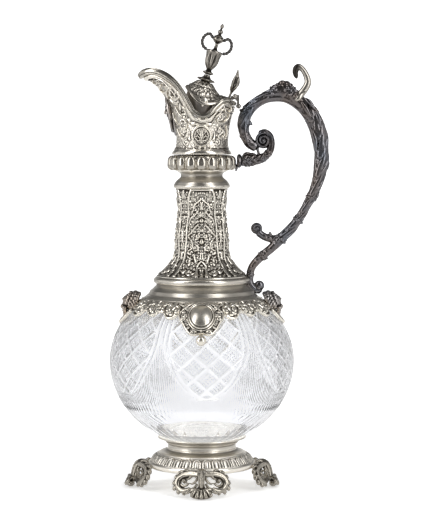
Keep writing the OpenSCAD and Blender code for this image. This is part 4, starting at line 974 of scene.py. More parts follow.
# Scrolls and beads stand on the sheet beside the dips of the rim and under the medallions.
# Each line holds places as seen from the side, its thickness and how far it stands out.
spout_scrolls = [
    ([(-17.2, 333.4), (-14, 330), (-11.6, 326.6), (-11.4, 323.8), (-13.4, 322.6), (-15.2, 324.2)], 0.95, 0.7),
    ([(-9.6, 323.4), (-8.2, 319.6), (-6.2, 315.4), (-3, 312.2), (1, 310.9), (5.2, 311.6), (8.6, 314.4), (11, 318)],
     0.8, 0.4),
    ([(10.4, 321.4), (12.8, 325), (16.4, 327), (20.4, 326.8), (23.2, 324.6), (23.8, 321.4), (21.8, 319.2),
      (19.2, 319.8), (19.2, 322)], 1.2, 0.8),
    ([(9.4, 316.8), (12.2, 320.2), (15, 322.2), (17, 321.2)], 0.9, 0.6),
    ([(22.4, 318), (20.8, 313.6), (17.4, 310.6), (13.6, 310.6), (12.4, 313.2), (14.4, 314.6)], 0.9, 0.6),
    ([(-24.4, 340.6), (-25.6, 336.4), (-23.6, 332), (-19.8, 330.8), (-17.6, 333.6), (-19.2, 336.6), (-21.6, 335)],
     1.1, 0.7),
    ([(-33.6, 342.6), (-34.4, 339.4), (-32, 336.6), (-28.8, 337), (-28, 339.8), (-30.4, 340.6)], 0.9, 0.6),
    ([(-41, 346.8), (-40, 344.2), (-37.4, 343.6), (-36.6, 345.4)], 0.8, 0.5),
    ([(-26.6, 341.4), (-28.6, 336), (-27.6, 331.6)], 1.0, 0.5),
    ([(-25.4, 330.6), (-22.6, 327), (-19, 325.6)], 1.0, 0.5), ([(-21, 324), (-18.6, 319), (-15.6, 316)], 1.0, 0.5),
    ([(-23, 319), (-21.4, 313), (-18.4, 308.6)], 0.9, 0.4),
    ([(-14.6, 314), (-12, 310), (-12.6, 305.6), (-15.6, 304.8), (-16.4, 307.6)], 0.9, 0.5),
    ([(-19.4, 305), (-17.4, 300), (-14.4, 297.4)], 0.8, 0.4),
    ([(14.6, 306.6), (17.6, 303), (17.2, 298.6), (14, 297.6), (12.8, 300.4)], 0.9, 0.5),
    ([(20, 308), (20.6, 302), (18.8, 296.6)], 0.8, 0.4),
    ([(-1.6, 287.4), (-4.6, 286.4), (-6.4, 289.2), (-4.6, 291.4)], 0.8, 0.4),
    ([(2.8, 287.4), (5.8, 286.4), (7.6, 289.2), (5.8, 291.4)], 0.8, 0.4),
]
spout_beads = [(-13.2, 325.4, 1.7), (-1.1, 314.7, 1.15), (3.6, 314.7, 1.15), (-3, 309.6, 1.2), (4.4, 309.6, 1.2),
               (1, 308.6, 1.0), (-1.5, 289.7, 1.2), (2.7, 289.7, 1.2), (15.4, 317.6, 1.1), (18, 315.6, 0.9)]
side_sheet = np.where(sheet[..., 1:2] < -0.5, sheet, 1e4)


def on_spout(x, z, lift):
    """Place on the spout's near side, as seen from the side, lifted off the sheet."""
    at = np.unravel_index(np.argmin(np.hypot(side_sheet[..., 0] - x, side_sheet[..., 2] - z)), side_sheet.shape[:2])
    return sheet[at] + spout_normal[at] * (spout_half + lift)


scroll_parts = []
for places, thick, lift in spout_scrolls:
    taper = [thick * (1.1 - 0.5 * i / len(places)) for i in range(len(places))]
    scroll_parts.append(wax_rod([(*on_spout(x, z, lift), r, r) for (x, z), r in zip(places, taper)]))
scroll_parts += [wax_ball(on_spout(x, z, 0.5), r) for x, z, r in spout_beads]
scrolls = cast("spout_scrolls_cast", mirrored(scroll_parts), 0.28, 12, 0.35)
wear(scrolls, silver)
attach(scrolls, "jug")

# The rolled rim is a silver rod, bent to the spout's edge and soldered on, with a fine
# bead along its inner side.
rim_out = unit(np.cross(rim_way, np.broadcast_to(up, rim_way.shape)))
rim_up = np.cross(rim_out, rim_way)
section = 2 * np.pi * np.arange(48) / 48
swell = 1 + 0.1 * np.maximum(0, np.sin(section))[:, None, None]
for line_at in (0.95, -0.55):
    swell -= 0.26 * np.clip(1 - np.abs((section - line_at + np.pi) % (2 * np.pi) - np.pi) / 0.3, 0, 1)[:, None, None]
broad = (rim_r + 0.9 * np.clip((-14 - rim_line[:, 0]) / 14, 0, 1))[None, :, None]
rim_rings = (rim_line[None] + 1.6 * (broad - rim_r) * up
             + swell * broad * (np.cos(section)[:, None, None] * rim_out[None]
                                + np.sin(section)[:, None, None] * rim_up[None]))
# The rim is a darker copy of the silver: painted shade.
rim_silver_painted_shade = silver_metal("rim_silver_painted_shade", (0.52, 0.49, 0.435), (0.05, 0.042, 0.034), 0.14, 0.4)
rim = closed_shell("spout_rim_rolled", rim_rings, spread=8, depth=0.3)
wear(rim, rim_silver_painted_shade)
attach(rim, "jug")
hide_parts("spout_rim")

# ---- Mask under the lip and medallions ---------------------------------------------------
# A small cast grotesque with a leafy crown and a beard, soldered under the lip, and on
# each side of the bulb an oval frame round a drop and palm leaves.
lip_mask_line = [(-24.4, 0, 303, 1.6, 2.2), (-25.2, 0, 309, 2.0, 3.4), (-26.4, 0, 315, 2.4, 4.6),
                 (-27.8, 0, 321, 2.6, 5.2), (-28.6, 0, 326.5, 2.3, 5.0), (-29.2, 0, 332, 1.2, 3.2)]
lip_mask_parts = [wax_rod(lip_mask_line),
                  wax_rod([(-21.6, 0, 300, 1.4, 2.4), (-22.6, 0, 308, 2.2, 3.6), (-24.2, 0, 316, 2.6, 4.2),
                           (-26.6, 0, 324, 2.4, 4.0)])]
lip_mask_parts += [wax_ball((-30.6, 0, 319.6), (1.3, 1.2, 2.4), 10),
                   wax_rod([(-29.2, -4, 322.6, 0.8, 1.0), (-30.6, -1.6, 323.4, 0.9, 0.9),
                            (-30.4, 0, 322.6, 0.8, 0.8)], (0, 0, 1)),
                   wax_ball((-29.0, 0, 316.2), (1.0, 2.2, 0.8))]
lip_mask_parts += mirrored([wax_ball((-29.3, -2.6, 318.8), (1.2, 1.7, 1.7)),
                            wax_ball((-28.8, -2.4, 321.2), (1.1, 1.2, 0.8))])
lip_mask_parts += [wax_ball((-30.2, 0, 322.9), (1.0, 1.2, 0.9))]
lip_mask_parts += mirrored([wax_rod([(-27.2, -1.2 * k, 315.5, 0.9, 0.9), (-26.6, -1.5 * k, 311, 1.1, 0.9),
                                     (-25.6, -1.0 * k, 306.6, 0.9, 0.8), (-26.0, -0.6 * k, 303.8, 0.5, 0.5)],
                                    (1, 0, 0)) for k in (0.4, 1.6, 2.6)])
lip_mask_parts += mirrored([wax_rod([(-28.8, -1.4 * k, 325.2, 0.9, 1.0), (-30.2, -2.0 * k, 328.4, 1.0, 1.1),
                                     (-30.6, -2.4 * k, 331.6, 0.6, 0.7)], (1, 0, 0)) for k in (0.0, 1.1, 2.1)])
lip_mask = cast("spout_mask_cast", lip_mask_parts, 0.3, 12, 0.2)
dark_silver = silver_metal("oxidised_silver", (0.44, 0.41, 0.38), (0.03, 0.026, 0.024), 0.26, 0.5, 0.3,
                           ((1.0, 0.92, 0.84), (0.84, 0.9, 1.0)))
wear(lip_mask, dark_silver)
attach(lip_mask, "jug")
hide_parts("spout_mask")

medallion_z = spout_z + 16
for node, degrees in (("medallion_front", 270), ("medallion_back", 90)):
    steps = 96
    phi = 2 * np.pi * np.arange(steps) / steps
    share = np.linspace(0.02, 1, 44)[:, None]
    across = share * 9.0 * np.cos(phi)
    upward = share * 9.4 * np.sin(phi)
    off = share * 9.2
    lift = 0.9 + 1.15 * ridge(np.abs(off - 8.0), 1.1) + 0.7 * ridge(np.abs(off - 5.9), 0.5)
    drop = [([(0, 3.6), (0, 1.4)], 1.0, 1.5, 1.3), ([(0, 0.6), (0, -2.2)], 1.7, 0.9, 1.4)]
    drop += (boss(0, 4.6, 0.8, 1.2) + boss(0, -3.6, 0.8, 1.1) + leaf(1.4, -1.8, 40, 4.2, 0.9, 1.1)
             + leaf(1.2, 0.6, 50, 4.4, 0.8, 1.1))
    drop += (leaf(1.0, -3.6, -10, 3.8, 0.8, 1.0) + curl(3.4, 3.4, 1.2, 1.0, 0, 0.45, 0.9) + boss(0, -5.2, 0.9, 1.3)
             + boss(1.4, -4.6, 0.7, 0.9))
    drop += (leaf(0.8, 2.6, 70, 3.6, 0.8, 1.2) + boss(4.4, -0.6, 0.8, 0.8) + boss(5.0, 1.6, 0.6, 0.8)
             + boss(4.2, -2.8, 0.6, 0.8))
    lift = np.maximum(lift, 0.4 + 1.5 * chase(np.abs(across) + 0 * phi, upward + 0 * phi, drop))
    lift = np.where(off > 8.9, 0.2, lift)
    body_z = medallion_z + upward
    meridian = sheet[:, np.argmin(np.abs(spout_turn - math.pi / 2))]
    base = np.interp(body_z, meridian[:, 2], np.abs(meridian[:, 1]))
    r = base + 0.7 + lift
    top = np.stack([np.sqrt(np.maximum(r * r - across**2, 0)) + 0 * body_z, across + 0 * body_z, body_z], -1)
    under_x = np.sqrt(np.maximum((base + 0.5) ** 2 - across**2, 0))
    under = np.stack([under_x + 0 * body_z, across + 0 * body_z, body_z], -1)[::-8]
    medal_rings = turned_about_z(np.concatenate([top, under]).reshape(-1, 3), degrees).reshape(-1, steps, 3)
    medal = closed_shell(node + "_chased", medal_rings, spread=10, depth=0.25)
    wear(medal, chased_silver)
    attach(medal, "jug")
    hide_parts(node)

# ---- Cartouches and their drops ----------------------------------------------------------
# Each cartouche is a dished plate with a plain polished oval boss inside two rings, in a
# lobed scroll border, soldered over the skirt. A ball hangs from its lowest point.
cartouche_z = 150.4
cartouche_lift = 2.7
shoulder_bend_r = 76.0


def on_shoulder(a, b, h, z0, degrees):
    """Places sideways a, upwards b and height h, in mm, on the globe round height z0."""
    r0 = float(globe_at(np.array(z0)))
    slope = math.atan2(r0 / globe_r**2, (z0 - glass_mid) / globe_up**2)
    sink = h - (a * a + b * b) / (2 * shoulder_bend_r)
    out = r0 + sink * math.sin(slope) - b * math.cos(slope)
    z = z0 + sink * math.cos(slope) + b * math.sin(slope)
    return turned_about_z(np.stack([out, a + 0 * out, z], -1).reshape(-1, 3), degrees).reshape(out.shape + (3,))


border_at = [-90, -68, -45, -24, -8, 12, 36, 62, 90, 118, 144, 168, 188, 204, 225, 248, 270]
border_r = [17.0, 20.4, 18.6, 17.0, 18.4, 19.2, 16.6, 16.2, 15.2, 16.2, 16.6, 19.2, 18.4, 17.0, 18.6, 20.4, 17.0]
cartouche_steps = 288
phi = 2 * np.pi * np.arange(cartouche_steps) / cartouche_steps - math.pi / 2
border = np.interp(np.degrees(phi), border_at, border_r)
border = sum(np.roll(border, k) for k in range(-7, 8)) / 15
share = np.linspace(0.01, 1, 84)[:, None]
plate_a, plate_b = share * border * np.cos(phi), share * border * np.sin(phi)
oval = np.hypot(plate_a / 0.9, plate_b / 1.1)
to_border = (1 - share) * border
plate_lift = 3.2 * np.sqrt(np.clip(1 - (oval / 10.4) ** 2, 0, 1)) + 0.5
plate_lift = np.maximum(plate_lift, 0.5 + 1.5 * ridge(np.abs(oval - 11.2), 0.95))
plate_lift = np.maximum(plate_lift, 0.4 + 0.9 * ridge(np.abs(oval - 13.0), 0.6))
plate_strokes = (curl(15.2, -2.2, 2.2, 1.2, 80, 0.75, 1.5) + curl(6.6, -16.4, 2.3, 1.2, 160, 0.8, 1.6, -1)
                 + boss(0, -14.6, 1.3, 1.9))
plate_strokes += (leaf(10.6, -11.2, -30, 4.4, 1.1, 1.4) + leaf(14.6, 4.4, 60, 4.4, 1.2, 1.4)
                  + curl(11.8, 9.4, 2.0, 1.1, 230, 0.7, 1.3))
plate_strokes += (leaf(2.0, 13.8, 30, 4.6, 1.1, 1.3) + boss(0, 13.6, 1.4, 1.8)
                  + scatter(31, (0.5, 20), (-20, 16), 2.2, 0.6, 1.0))
chased = chase(np.abs(plate_a), plate_b, plate_strokes)
plate_lift = np.where(oval > 13.2, np.maximum(plate_lift, 0.3 + chased), plate_lift)
plate_lift = np.maximum(plate_lift, 0.3 + 1.5 * ridge(np.abs(to_border - 0.9), 0.9))
for node, degrees in (("cartouche_front", 270), ("cartouche_back", 90)):
    top = on_shoulder(plate_a, plate_b, cartouche_lift + plate_lift, cartouche_z, degrees)
    under = on_shoulder(plate_a, plate_b, 0 * plate_a + cartouche_lift - 0.2, cartouche_z, degrees)[::-12]
    plate = closed_shell(node + "_chased", np.concatenate([top, under]), spread=12, depth=0.3)
    wear(plate, chased_silver)
    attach(plate, "jug")
    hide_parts(node)
for node, degrees in (("pendant_front", 270), ("pendant_back", 90)):
    drop_z = 131.7
    ball = on_shoulder(np.array(0.0), np.array(0.0), np.array(4.8), drop_z, 0)
    stalk = on_shoulder(np.array(0.0), np.array(5.0), np.array(4.2), drop_z, 0)
    parts = [wax_ball(ball, 4.5), wax_rod([(*ball, 1.5, 1.5), (*stalk, 1.9, 1.9)])]
    drop = cast(node + "_cast", [(turned_about_z(p, degrees), f) for p, f in parts], 0.4, 8, 0.6)
    wear(drop, silver)
    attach(drop, "jug")
    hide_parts(node)

# ---- Heads on the shoulder ---------------------------------------------------------------
# Two cast heads with rolled curls and beards look out over the shoulder, under the spout
# and under the handle. They are dark with oxide and soldered to the skirt.
head_z = 156.8


def head_parts():
    """The head in its own place: X out of the glass, Y across, Z up along the shoulder."""
    parts = [wax_ball((4.6, 0, 0.5), (6.2, 5.8, 7.6)), wax_ball((9.4, 0, 1.0), (1.9, 1.25, 2.4)),
             wax_ball((10.6, 0, -0.4), (1.3, 1.4, 1.1)), wax_ball((8.4, 0, -3.6), (1.7, 2.4, 0.8)),
             wax_ball((7.4, 0, -6.2), (3.0, 3.0, 2.4))]
    parts += mirrored([
        wax_ball((8.4, 2.6, 0.2), (1.6, 1.7, 1.5)), wax_ball((8.7, 2.3, 2.5), (0.9, 1.2, 0.8)),
        wax_rod([(9.2, 0.7, 3.7, 0.7, 0.8), (9.3, 2.6, 4.4, 0.7, 0.8), (8.0, 4.6, 3.6, 0.6, 0.6)], (0, 0, 1)),
    ])
    some = np.random.default_rng(7)
    for ring, (lift, far, count, size) in enumerate(((6.6, 6.0, 11, 2.0), (3.4, 7.8, 13, 2.3), (0.4, 8.6, 14, 2.2))):
        for i in range(count):
            a = math.radians(-28 + 236 * (i + 0.5 * (ring % 2)) / (count - 1))
            y, z = far * math.cos(a), 1.0 + far * math.sin(a)
            parts.append(wax_ball((lift, y, z), size * some.uniform(0.8, 1.1)))
            parts.append(wax_ball((lift + 1.4, y * 1.08, z + 0.6), size * 0.45))
    for row, z in enumerate((-6.6, -8.6, -10.4)):
        for i in range(5 - row):
            y = (i - (4 - row) / 2) * 2.5
            parts.append(wax_ball((6.2 - 1.2 * row + 0.4 * (i % 2), y, z), (2.1, 1.5, 1.7)))
    for z, places in ((-12.2, (-2.2, 0, 2.2)), (-13.9, (-1.2, 1.2))):
        parts += [wax_ball((2.9 + 0.2 * (z + 12.2), y, z), (2.1, 1.4, 1.6)) for y in places]
    return parts


def on_shoulder_at(points, z0, lean, lift, degrees):
    """Leans a casting back and stands it on the globe at height z0."""
    c, s = math.cos(math.radians(lean)), math.sin(math.radians(lean))
    p = points @ np.array([[c, 0, s], [0, 1, 0], [-s, 0, c]])
    r0 = float(globe_at(np.array(z0)))
    return turned_about_z(p + (r0 + lift, 0, z0), degrees)


head_wax = head_parts()
for node, degrees in (("mask_spout_side", 180), ("mask_handle_side", 0)):
    head = cast(node + "_cast", [(on_shoulder_at(p, head_z, 26, 2.8, degrees), f) for p, f in head_wax], 0.4, 12, 0.3)
    wear(head, dark_silver)
    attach(head, "jug")
    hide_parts(node)

# ---- Handle ------------------------------------------------------------------------------
# The handle is cast in one long S with leaves, knots and scrolls, darkly oxidised, and
# soldered to the gadrooned ring and to the shoulder mount. Heights in the rows are above
# the ring's middle, and widths beyond the ring or the mount.
handle_drop = 108.0
seat_drop = ring_mid - mount_z - 7.6
bow_rows = [(8.6, -108, 2.2, 2.2), (4, -106.6, 2.6, 2.8), (0.8, -101.4, 2.7, 3), (1.3, -95.6, 2.7, 3),
            (4, -87.8, 2.8, 3.2), (12.2, -79.4, 3.2, 3.6), (22, -72, 3.4, 3.8), (29.4, -65.4, 3.9, 4.2),
            (36.8, -58.6, 4, 4.2), (44, -51.6, 4, 4.2), (51.8, -41.6, 4, 4.4), (58.6, -31.4, 4.3, 4.8),
            (64.6, -21.2, 5, 5.4), (68.6, -11, 5.6, 5.8), (71.6, -0.6, 6.8, 6.4), (71.9, 9.6, 6.8, 6.6),
            (70.7, 19.6, 8, 7), (68, 29.8, 8, 7), (62.8, 40, 7.6, 6.8), (55, 49, 6.8, 6.2), (47, 55.6, 7.2, 6),
            (38.8, 60.4, 8.4, 5.6), (29.6, 57.6, 5, 4.8), (19.4, 52.4, 4.6, 4.4), (12, 46.6, 4.6, 4.2),
            (7.4, 39.9, 4.8, 4.2), (6, 33.1, 4.7, 4.2), (6.4, 26.2, 3.9, 4), (8.8, 20.2, 3.8, 4),
            (12.4, 15.8, 3.8, 3.8), (16.6, 13.2, 3.4, 3.4)]
arm_rows = [(4.6, 1.6, 4.6, 4.8), (8.4, 1.7, 5.6, 5.2), (13.6, 2.1, 5, 4.8), (21.6, 3.8, 4.2, 4.2),
            (27.8, 9.3, 3.7, 3.8), (29.8, 16.4, 3.2, 3.6), (28.4, 23, 3, 3.4), (24, 26.4, 2.7, 3.2),
            (19.2, 25.4, 2.2, 3)]
link_rows = [(17.6, 12.6, 1.3, 1.5), (18.4, 9.4, 1.2, 1.3), (19.2, 6, 1.4, 1.6)]
branch_rows = [(33, -61, 2.4, 2.6), (27.6, -63.4, 2.4, 2.8), (22.6, -64, 2.5, 2.8), (17, -62.2, 2.5, 2.8),
               (12.2, -58.6, 2.5, 2.8)]
swan_rows = [(50.6, 52.6, 2.9, 2.8), (53.4, 57, 2.9, 2.8), (57.4, 61.8, 2.8, 2.7), (60, 66.6, 2.7, 2.6),
             (59.9, 70.6, 2.5, 2.4), (57.9, 75.6, 2.2, 2.2), (55.2, 79.3, 2.1, 2.1), (52.3, 81, 2.3, 2.2),
             (50.2, 79.2, 2.4, 2.2), (49.7, 75.8, 2.1, 2), (50.4, 72.8, 1.4, 1.5), (50.8, 71.4, 0.7, 0.8)]


def handle_place(dx, z):
    share = min(1.0, max(0.0, -z / handle_drop))
    return ring_r + (mount_ring_r - ring_r) * share + dx, ring_mid + (z * seat_drop / handle_drop if z < 0 else z)


def handle_rows(rows, thinner=0.0):
    out = []
    for dx, z, thick, wide in rows:
        x, height = handle_place(dx, z)
        out.append((x, 0, height, thick - thinner, wide - thinner))
    return out


def evenly(rows, step):
    """A rod's rows at even steps, and how far along each lies."""
    line = through(rows, 12)
    far = np.concatenate([[0], np.cumsum(np.linalg.norm(np.diff(line[:, :3], axis=0), axis=1))])
    at = np.arange(0, far[-1], step)
    return np.stack([np.interp(at, far, line[:, k]) for k in range(5)], 1), at


def chased_rod(rows, strokes, around, sides=104, step=0.4):
    """A rod in the XZ plane, chased alike on both cheeks. Strokes are placed from its outer edge and along it."""
    line, at = evenly(rows, step)
    way = unit(np.gradient(line[:, :3], axis=0))
    thick = np.stack([way[:, 2], 0 * at, -way[:, 0]], 1)[:, None]
    turn = (np.arange(sides) / sides * 2 * np.pi - np.pi)[None, :, None]
    lift = chase(np.abs(turn[..., 0]) * around + 0 * at[:, None], at[:, None] + 0 * turn[..., 0], strokes)[..., None]
    side = np.array((0, 1.0, 0))
    outward = unit(np.cos(turn) * thick / line[:, None, 3:4] + np.sin(turn) * side / line[:, None, 4:5])
    rings = (line[:, None, :3] + np.cos(turn) * thick * line[:, None, 3:4] + np.sin(turn) * side * line[:, None, 4:5]
             + outward * lift)
    ends = [line[0, :3] - way[0] * line[0, 3] * 0.7, line[-1, :3] + way[-1] * line[-1, 3] * 0.7]
    return capped(rings, ends, flip=True)


def scroll_disc(centre, r, wide, turns, start, way=1):
    """A round volute: a domed disc with a coil that winds in to its eye on both cheeks."""
    x, z = centre
    parts = [wax_ball((x, 0, z), (r * 0.96, wide * 0.78, r * 0.96)),
             wax_ball((x, 0, z), (r * 0.2, wide * 1.05, r * 0.2))]
    for f in np.linspace(0, 1, int(34 * turns)):
        a = math.radians(start) + way * 2 * math.pi * turns * f
        far, bead = r * (0.88 - 0.66 * f), r * (0.17 - 0.06 * f)
        off = wide * (0.42 + 0.4 * f)
        parts += mirrored([wax_ball((x + far * math.cos(a), off, z + far * math.sin(a)), (bead, bead * 1.5, bead))])
    return parts


# The bow's leaves follow one another from the foot to the crown; a cluster of berries
# and leaves stands on the crown, and knots of beads stand where one stem ends.
bow_growth = np.interp(range(len(bow_rows)), (0, 4, 8, 10, 14, 16, 19, 21, 25, 31),
                       (0.5, 0.5, 0.3, -0.35, -0.5, -1.0, -1.0, -0.35, 0.5, 0.6))
bow = [(x, y, z, thick + grow, wide + grow)
       for (x, y, z, thick, wide), grow in zip(handle_rows(bow_rows), bow_growth)]
bow_line, bow_at = evenly(bow, 0.4)
bow_strokes = []


def along_bow(x, z):
    """How far along the bow the place nearest to x, z lies."""
    return float(bow_at[np.argmin(np.hypot(bow_line[:, 0] - x, bow_line[:, 2] - z))])


stem_end, crown_at = along_bow(66, 214), along_bow(68, 337)
for i, z in enumerate(np.arange(10, stem_end - 4, 5.4)):
    if i % 2:
        bow_strokes += [([(3.0, z), (6.0, z + 4.4), (9.4, z + 6.2)], 0.7, 0.3, 0.45)]
    else:
        bow_strokes += [([(12, z), (8.4, z + 4.4), (5.6, z + 6)], 0.7, 0.3, 0.4)]
for z in np.arange(stem_end, bow_at[-1] - 6, 16.5):
    grand = 1.25 if z < crown_at + 10 else 0.8
    bow_strokes += [([(9.4, z - 3), (7.8, z + 6), (5.4, z + 14), (4.4, z + 19)], 2.1 * grand, 0.5, 0.75 * grand)]
    bow_strokes += [([(6.4, z), (3.8, z + 5), (1.8, z + 11), (0.2, z + 15)], 1.7 * grand, 0.4, 0.7 * grand)]
    bow_strokes += [([(11.2, z), (12.4, z + 6), (11.6, z + 12)], 1.6 * grand, 0.4, 0.6 * grand)]
    for k in (3, 7, 11, 15):
        bow_strokes += [([(8.6 - 0.2 * k, z + k), (6.6 - 0.2 * k, z + k + 3.4)], 0.5, 0.25, 0.5 * grand),
                        ([(8.8 - 0.2 * k, z + k), (10.4 - 0.1 * k, z + k + 3)], 0.45, 0.25, 0.45 * grand)]
bow_strokes += scatter(41, (0.4, 15.5), (stem_end + 4, bow_at[-1] - 3), 3.0, 1.2, 0.16)
some = np.random.default_rng(12)
for z in np.arange(crown_at - 15, crown_at + 9, 2.3):
    for side in (0.2, 2.6, 5.0, 7.4):
        if some.uniform() < 0.86:
            bow_strokes += boss(side + some.uniform(-0.6, 0.6), z + some.uniform(-0.7, 0.7), some.uniform(0.9, 1.4),
                                some.uniform(0.9, 1.7))
for x, z, grow in ((95, 331, 1.3), (99, 325, 1.3), (103.5, 313, 0.4), (104.5, 303, 0.2), (104.5, 276, 0.9),
                   (103.5, 266, 0.6), (98, 248, 1.3)):
    bow_strokes += boss(0.4, along_bow(x, z), 2.4, grow) + leaf(1.6, along_bow(x, z) - 3, 80, 7, 1.5, grow)
for x, z, grow in ((40, 182, 0.7), (52, 196, 1.2), (65.4, 214, 1.5), (80.9, 228.4, 1.6), (92, 247, 1.5),
                   (36.2, 324, 0.8), (36, 300, 0.7)):
    for side in np.arange(0.6, 14.6, 2.4):
        bow_strokes += (boss(side, along_bow(x, z), 1.25, grow)
                        + boss(side + 1.2, along_bow(x, z) + 2.2, 0.9, 0.6 * grow))
bow_parts = [chased_rod(bow, bow_strokes, 4.9)]
branch = handle_rows(branch_rows, -0.7)
bow_parts += [chased_rod(branch, [([(2, z), (4.4, z - 3), (7, z - 3.6)], 0.7, 0.3, 0.4) for z in range(2, 20, 4)],
                         2.6, sides=48)]
eye_x, eye_z = handle_place(11.2, -55.2)
bow_parts += scroll_disc((eye_x, eye_z), 5.2, 3.2, 1.1, -80)
bow_parts += [wax_rod([(44, 0, 325.4, 2.4, 3.4), (50.5, 0, 328.6, 3.2, 4.4), (58, 0, 331.2, 3.5, 4.8),
                       (68.6, 0, 331.4, 3.6, 5), (76.5, 0, 328, 3.4, 4.8), (84, 0, 321.6, 2.8, 4)])]
foot_ball = handle_place(8.4, -103.6)
bow_parts += [wax_ball((foot_ball[0], 0, foot_ball[1]), (4.4, 3.8, 4.4))]
for x, z, dx, dz in ((51.6, 197.4, 4.4, -2.2), (58.4, 213, -0.6, 5.2), (36.5, 320, -4.6, 1.4),
                     (38.5, 312, 4.2, -3.2)):
    bow_parts += [wax_rod([(x, 0, z, 2.4, 2.6), (x + 0.6 * dx, 0, z + 0.6 * dz, 1.7, 2.1),
                           (x + dx, 0, z + dz, 0.7, 1.0)])]
for leaf_way in ([(87, -5.2, 331, 1.0, 1.0), (91, -6.4, 327.6, 2.0, 1.5), (95.4, -5.6, 322, 1.0, 0.9)],
                 [(84, -6.2, 328, 1.0, 1.0), (87.6, -7.0, 322.6, 2.0, 1.4), (91.6, -6.8, 316, 1.0, 0.9)],
                 [(96, -5.0, 320, 1.0, 1.0), (98.6, -5.8, 314.6, 1.9, 1.4), (100, -5.6, 307.6, 0.9, 0.8)],
                 [(93, -7, 304, 1.0, 0.9), (95.6, -7.2, 296, 2.0, 1.3), (96, -7, 287, 1.0, 0.8)],
                 [(100.4, -5.2, 300, 1.0, 0.9), (102.6, -5.2, 291, 2.0, 1.4), (102, -5.4, 282, 0.9, 0.8)]):
    bow_parts += mirrored([wax_rod(leaf_way)])
handle = cast("handle_bow_cast", bow_parts, 0.38, 12, 0.8)
bronze_silver = silver_metal("dark_oxide", (0.19, 0.188, 0.2), (0.014, 0.012, 0.013), 0.15, 0.4, 0.5,
                             ((1.0, 0.86, 0.74), (0.84, 0.92, 1.0)))
wear(handle, bronze_silver)
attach(handle, "jug")
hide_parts("handle_bow")

arm = handle_rows(arm_rows, 0.5)
arm_eye = handle_place(22.6, 18.9)
arm_strokes = scatter(43, (0.4, 14), (1, 26), 2.6, 0.9, 0.6)
for z in (2, 8, 14, 20):
    arm_strokes += [([(8.4, z), (5.4, z + 3.6), (1.6, z + 5)], 1.2, 0.4, 1.0),
                    ([(8.8, z), (11.4, z + 3.2), (14, z + 4)], 1.1, 0.4, 0.9)]
    arm_strokes += curl(7.8, z + 3.4, 1.8, 1.1, 90, 0.55, 0.9)
arm_strokes += [([(side, 27), (side, 40), (side, 56)], 0.7, 0.4, 0.4) for side in (2.2, 5.6, 9.4)]
arm_parts = ([chased_rod(arm, arm_strokes, 4.4), wax_rod(handle_rows(link_rows))]
             + scroll_disc(arm_eye, 7.2, 4.1, 1.7, 85))
arm_parts += [wax_rod([(30.8, 0, 275.4, 1.6, 1.8), (29.6, 0, 272.6, 1.3, 1.5), (28.9, 0, 269.6, 0.7, 0.9)])]
arm_parts += [wax_rod([(40, 0, 282.4, 1.6, 2.4), (43.2, 0, 284.2, 1.3, 2.0), (46.4, 0, 282.6, 0.8, 1.2)]),
              wax_rod([(34, 0, 279.4, 1.6, 2.6), (37, 0, 284.4, 1.4, 2.4), (41, 0, 284.6, 0.9, 1.4)])]
arm_cast = cast("handle_arm_cast", arm_parts, 0.38, 12, 0.42)
wear(arm_cast, bronze_silver)
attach(arm_cast, "jug")
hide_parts("handle_arm")

swan = handle_rows(swan_rows, -0.35)
swan_silver = silver_metal("swan_silver", (0.6, 0.56, 0.5), (0.05, 0.045, 0.04), 0.14, 0.4)
head_x, head_top = handle_place(50.9, 80.2)
swan_parts = [wax_rod(swan, sides=20), wax_ball((head_x, 0, head_top), (3.0, 2.6, 2.5), -50)]
swan_parts += mirrored([wax_rod([(87, -1.2, 336.8, 2.0, 2.0), (84.4, -4.4, 333.8, 2.2, 2.0),
                                 (81.8, -6.4, 331.2, 2.2, 1.6), (79.4, -6.8, 329.2, 1.3, 1.0)])])
swan_parts += mirrored([wax_ball((head_x - 0.8, 1.9, head_top + 0.5), 0.7)])
swan_cast = cast("handle_swan_cast", swan_parts, 0.36, 8, 0.7)
swan_points = points_of(swan_cast) / MM
in_head = np.clip((head_x + 4.5 - swan_points[:, 0]) / 5, 0, 1) * np.clip((swan_points[:, 2] - 346) / 3, 0, 1)
swan_cast.data.attributes["hollow"].data.foreach_set("value", np.clip(in_head * 0.5 - 0.08, -1, 1))
wear(swan_cast, swan_silver)
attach(swan_cast, "jug")
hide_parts("handle_swan")

# ---- Hinge -------------------------------------------------------------------------------
# The ears, the pin, the leaf, the nut under the lid and the socket of the arm keep their
# turned and filed shapes. Plaster, seen through the glass, fills the globe's two seats and glows: painted light.
wear(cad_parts["handle_socket"], bronze_silver)
plain_silver = silver_metal("plain_silver", (0.42, 0.40, 0.365), silver_dark, 0.2, 0.5, 0.9)
for node in ("hinge_bracket", "hinge_pin", "lid_hinge_leaf", "finial_nut"):
    wear(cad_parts[node], plain_silver)
plaster_with_painted_glow = bpy.data.materials.new("plaster_with_painted_glow")
plaster_with_painted_glow.use_nodes = True
plaster_nodes, plaster_links = plaster_with_painted_glow.node_tree.nodes, plaster_with_painted_glow.node_tree.links
plaster_shader = plaster_nodes["Principled BSDF"]
plaster_shader.inputs["Roughness"].default_value = 0.9
plaster_place, plaster_noise = plaster_nodes.new("ShaderNodeTexCoord"), plaster_nodes.new("ShaderNodeTexNoise")
plaster_noise.inputs["Scale"].default_value = 220
plaster_tone = plaster_nodes.new("ShaderNodeValToRGB")
plaster_tone.color_ramp.elements[0].color = (0.66, 0.63, 0.56, 1)
plaster_tone.color_ramp.elements[1].color = (0.86, 0.84, 0.78, 1)
plaster_links.new(plaster_place.outputs["Object"], plaster_noise.inputs["Vector"])
plaster_links.new(plaster_noise.outputs["Fac"], plaster_tone.inputs["Fac"])
plaster_links.new(plaster_tone.outputs["Color"], plaster_shader.inputs["Base Color"])
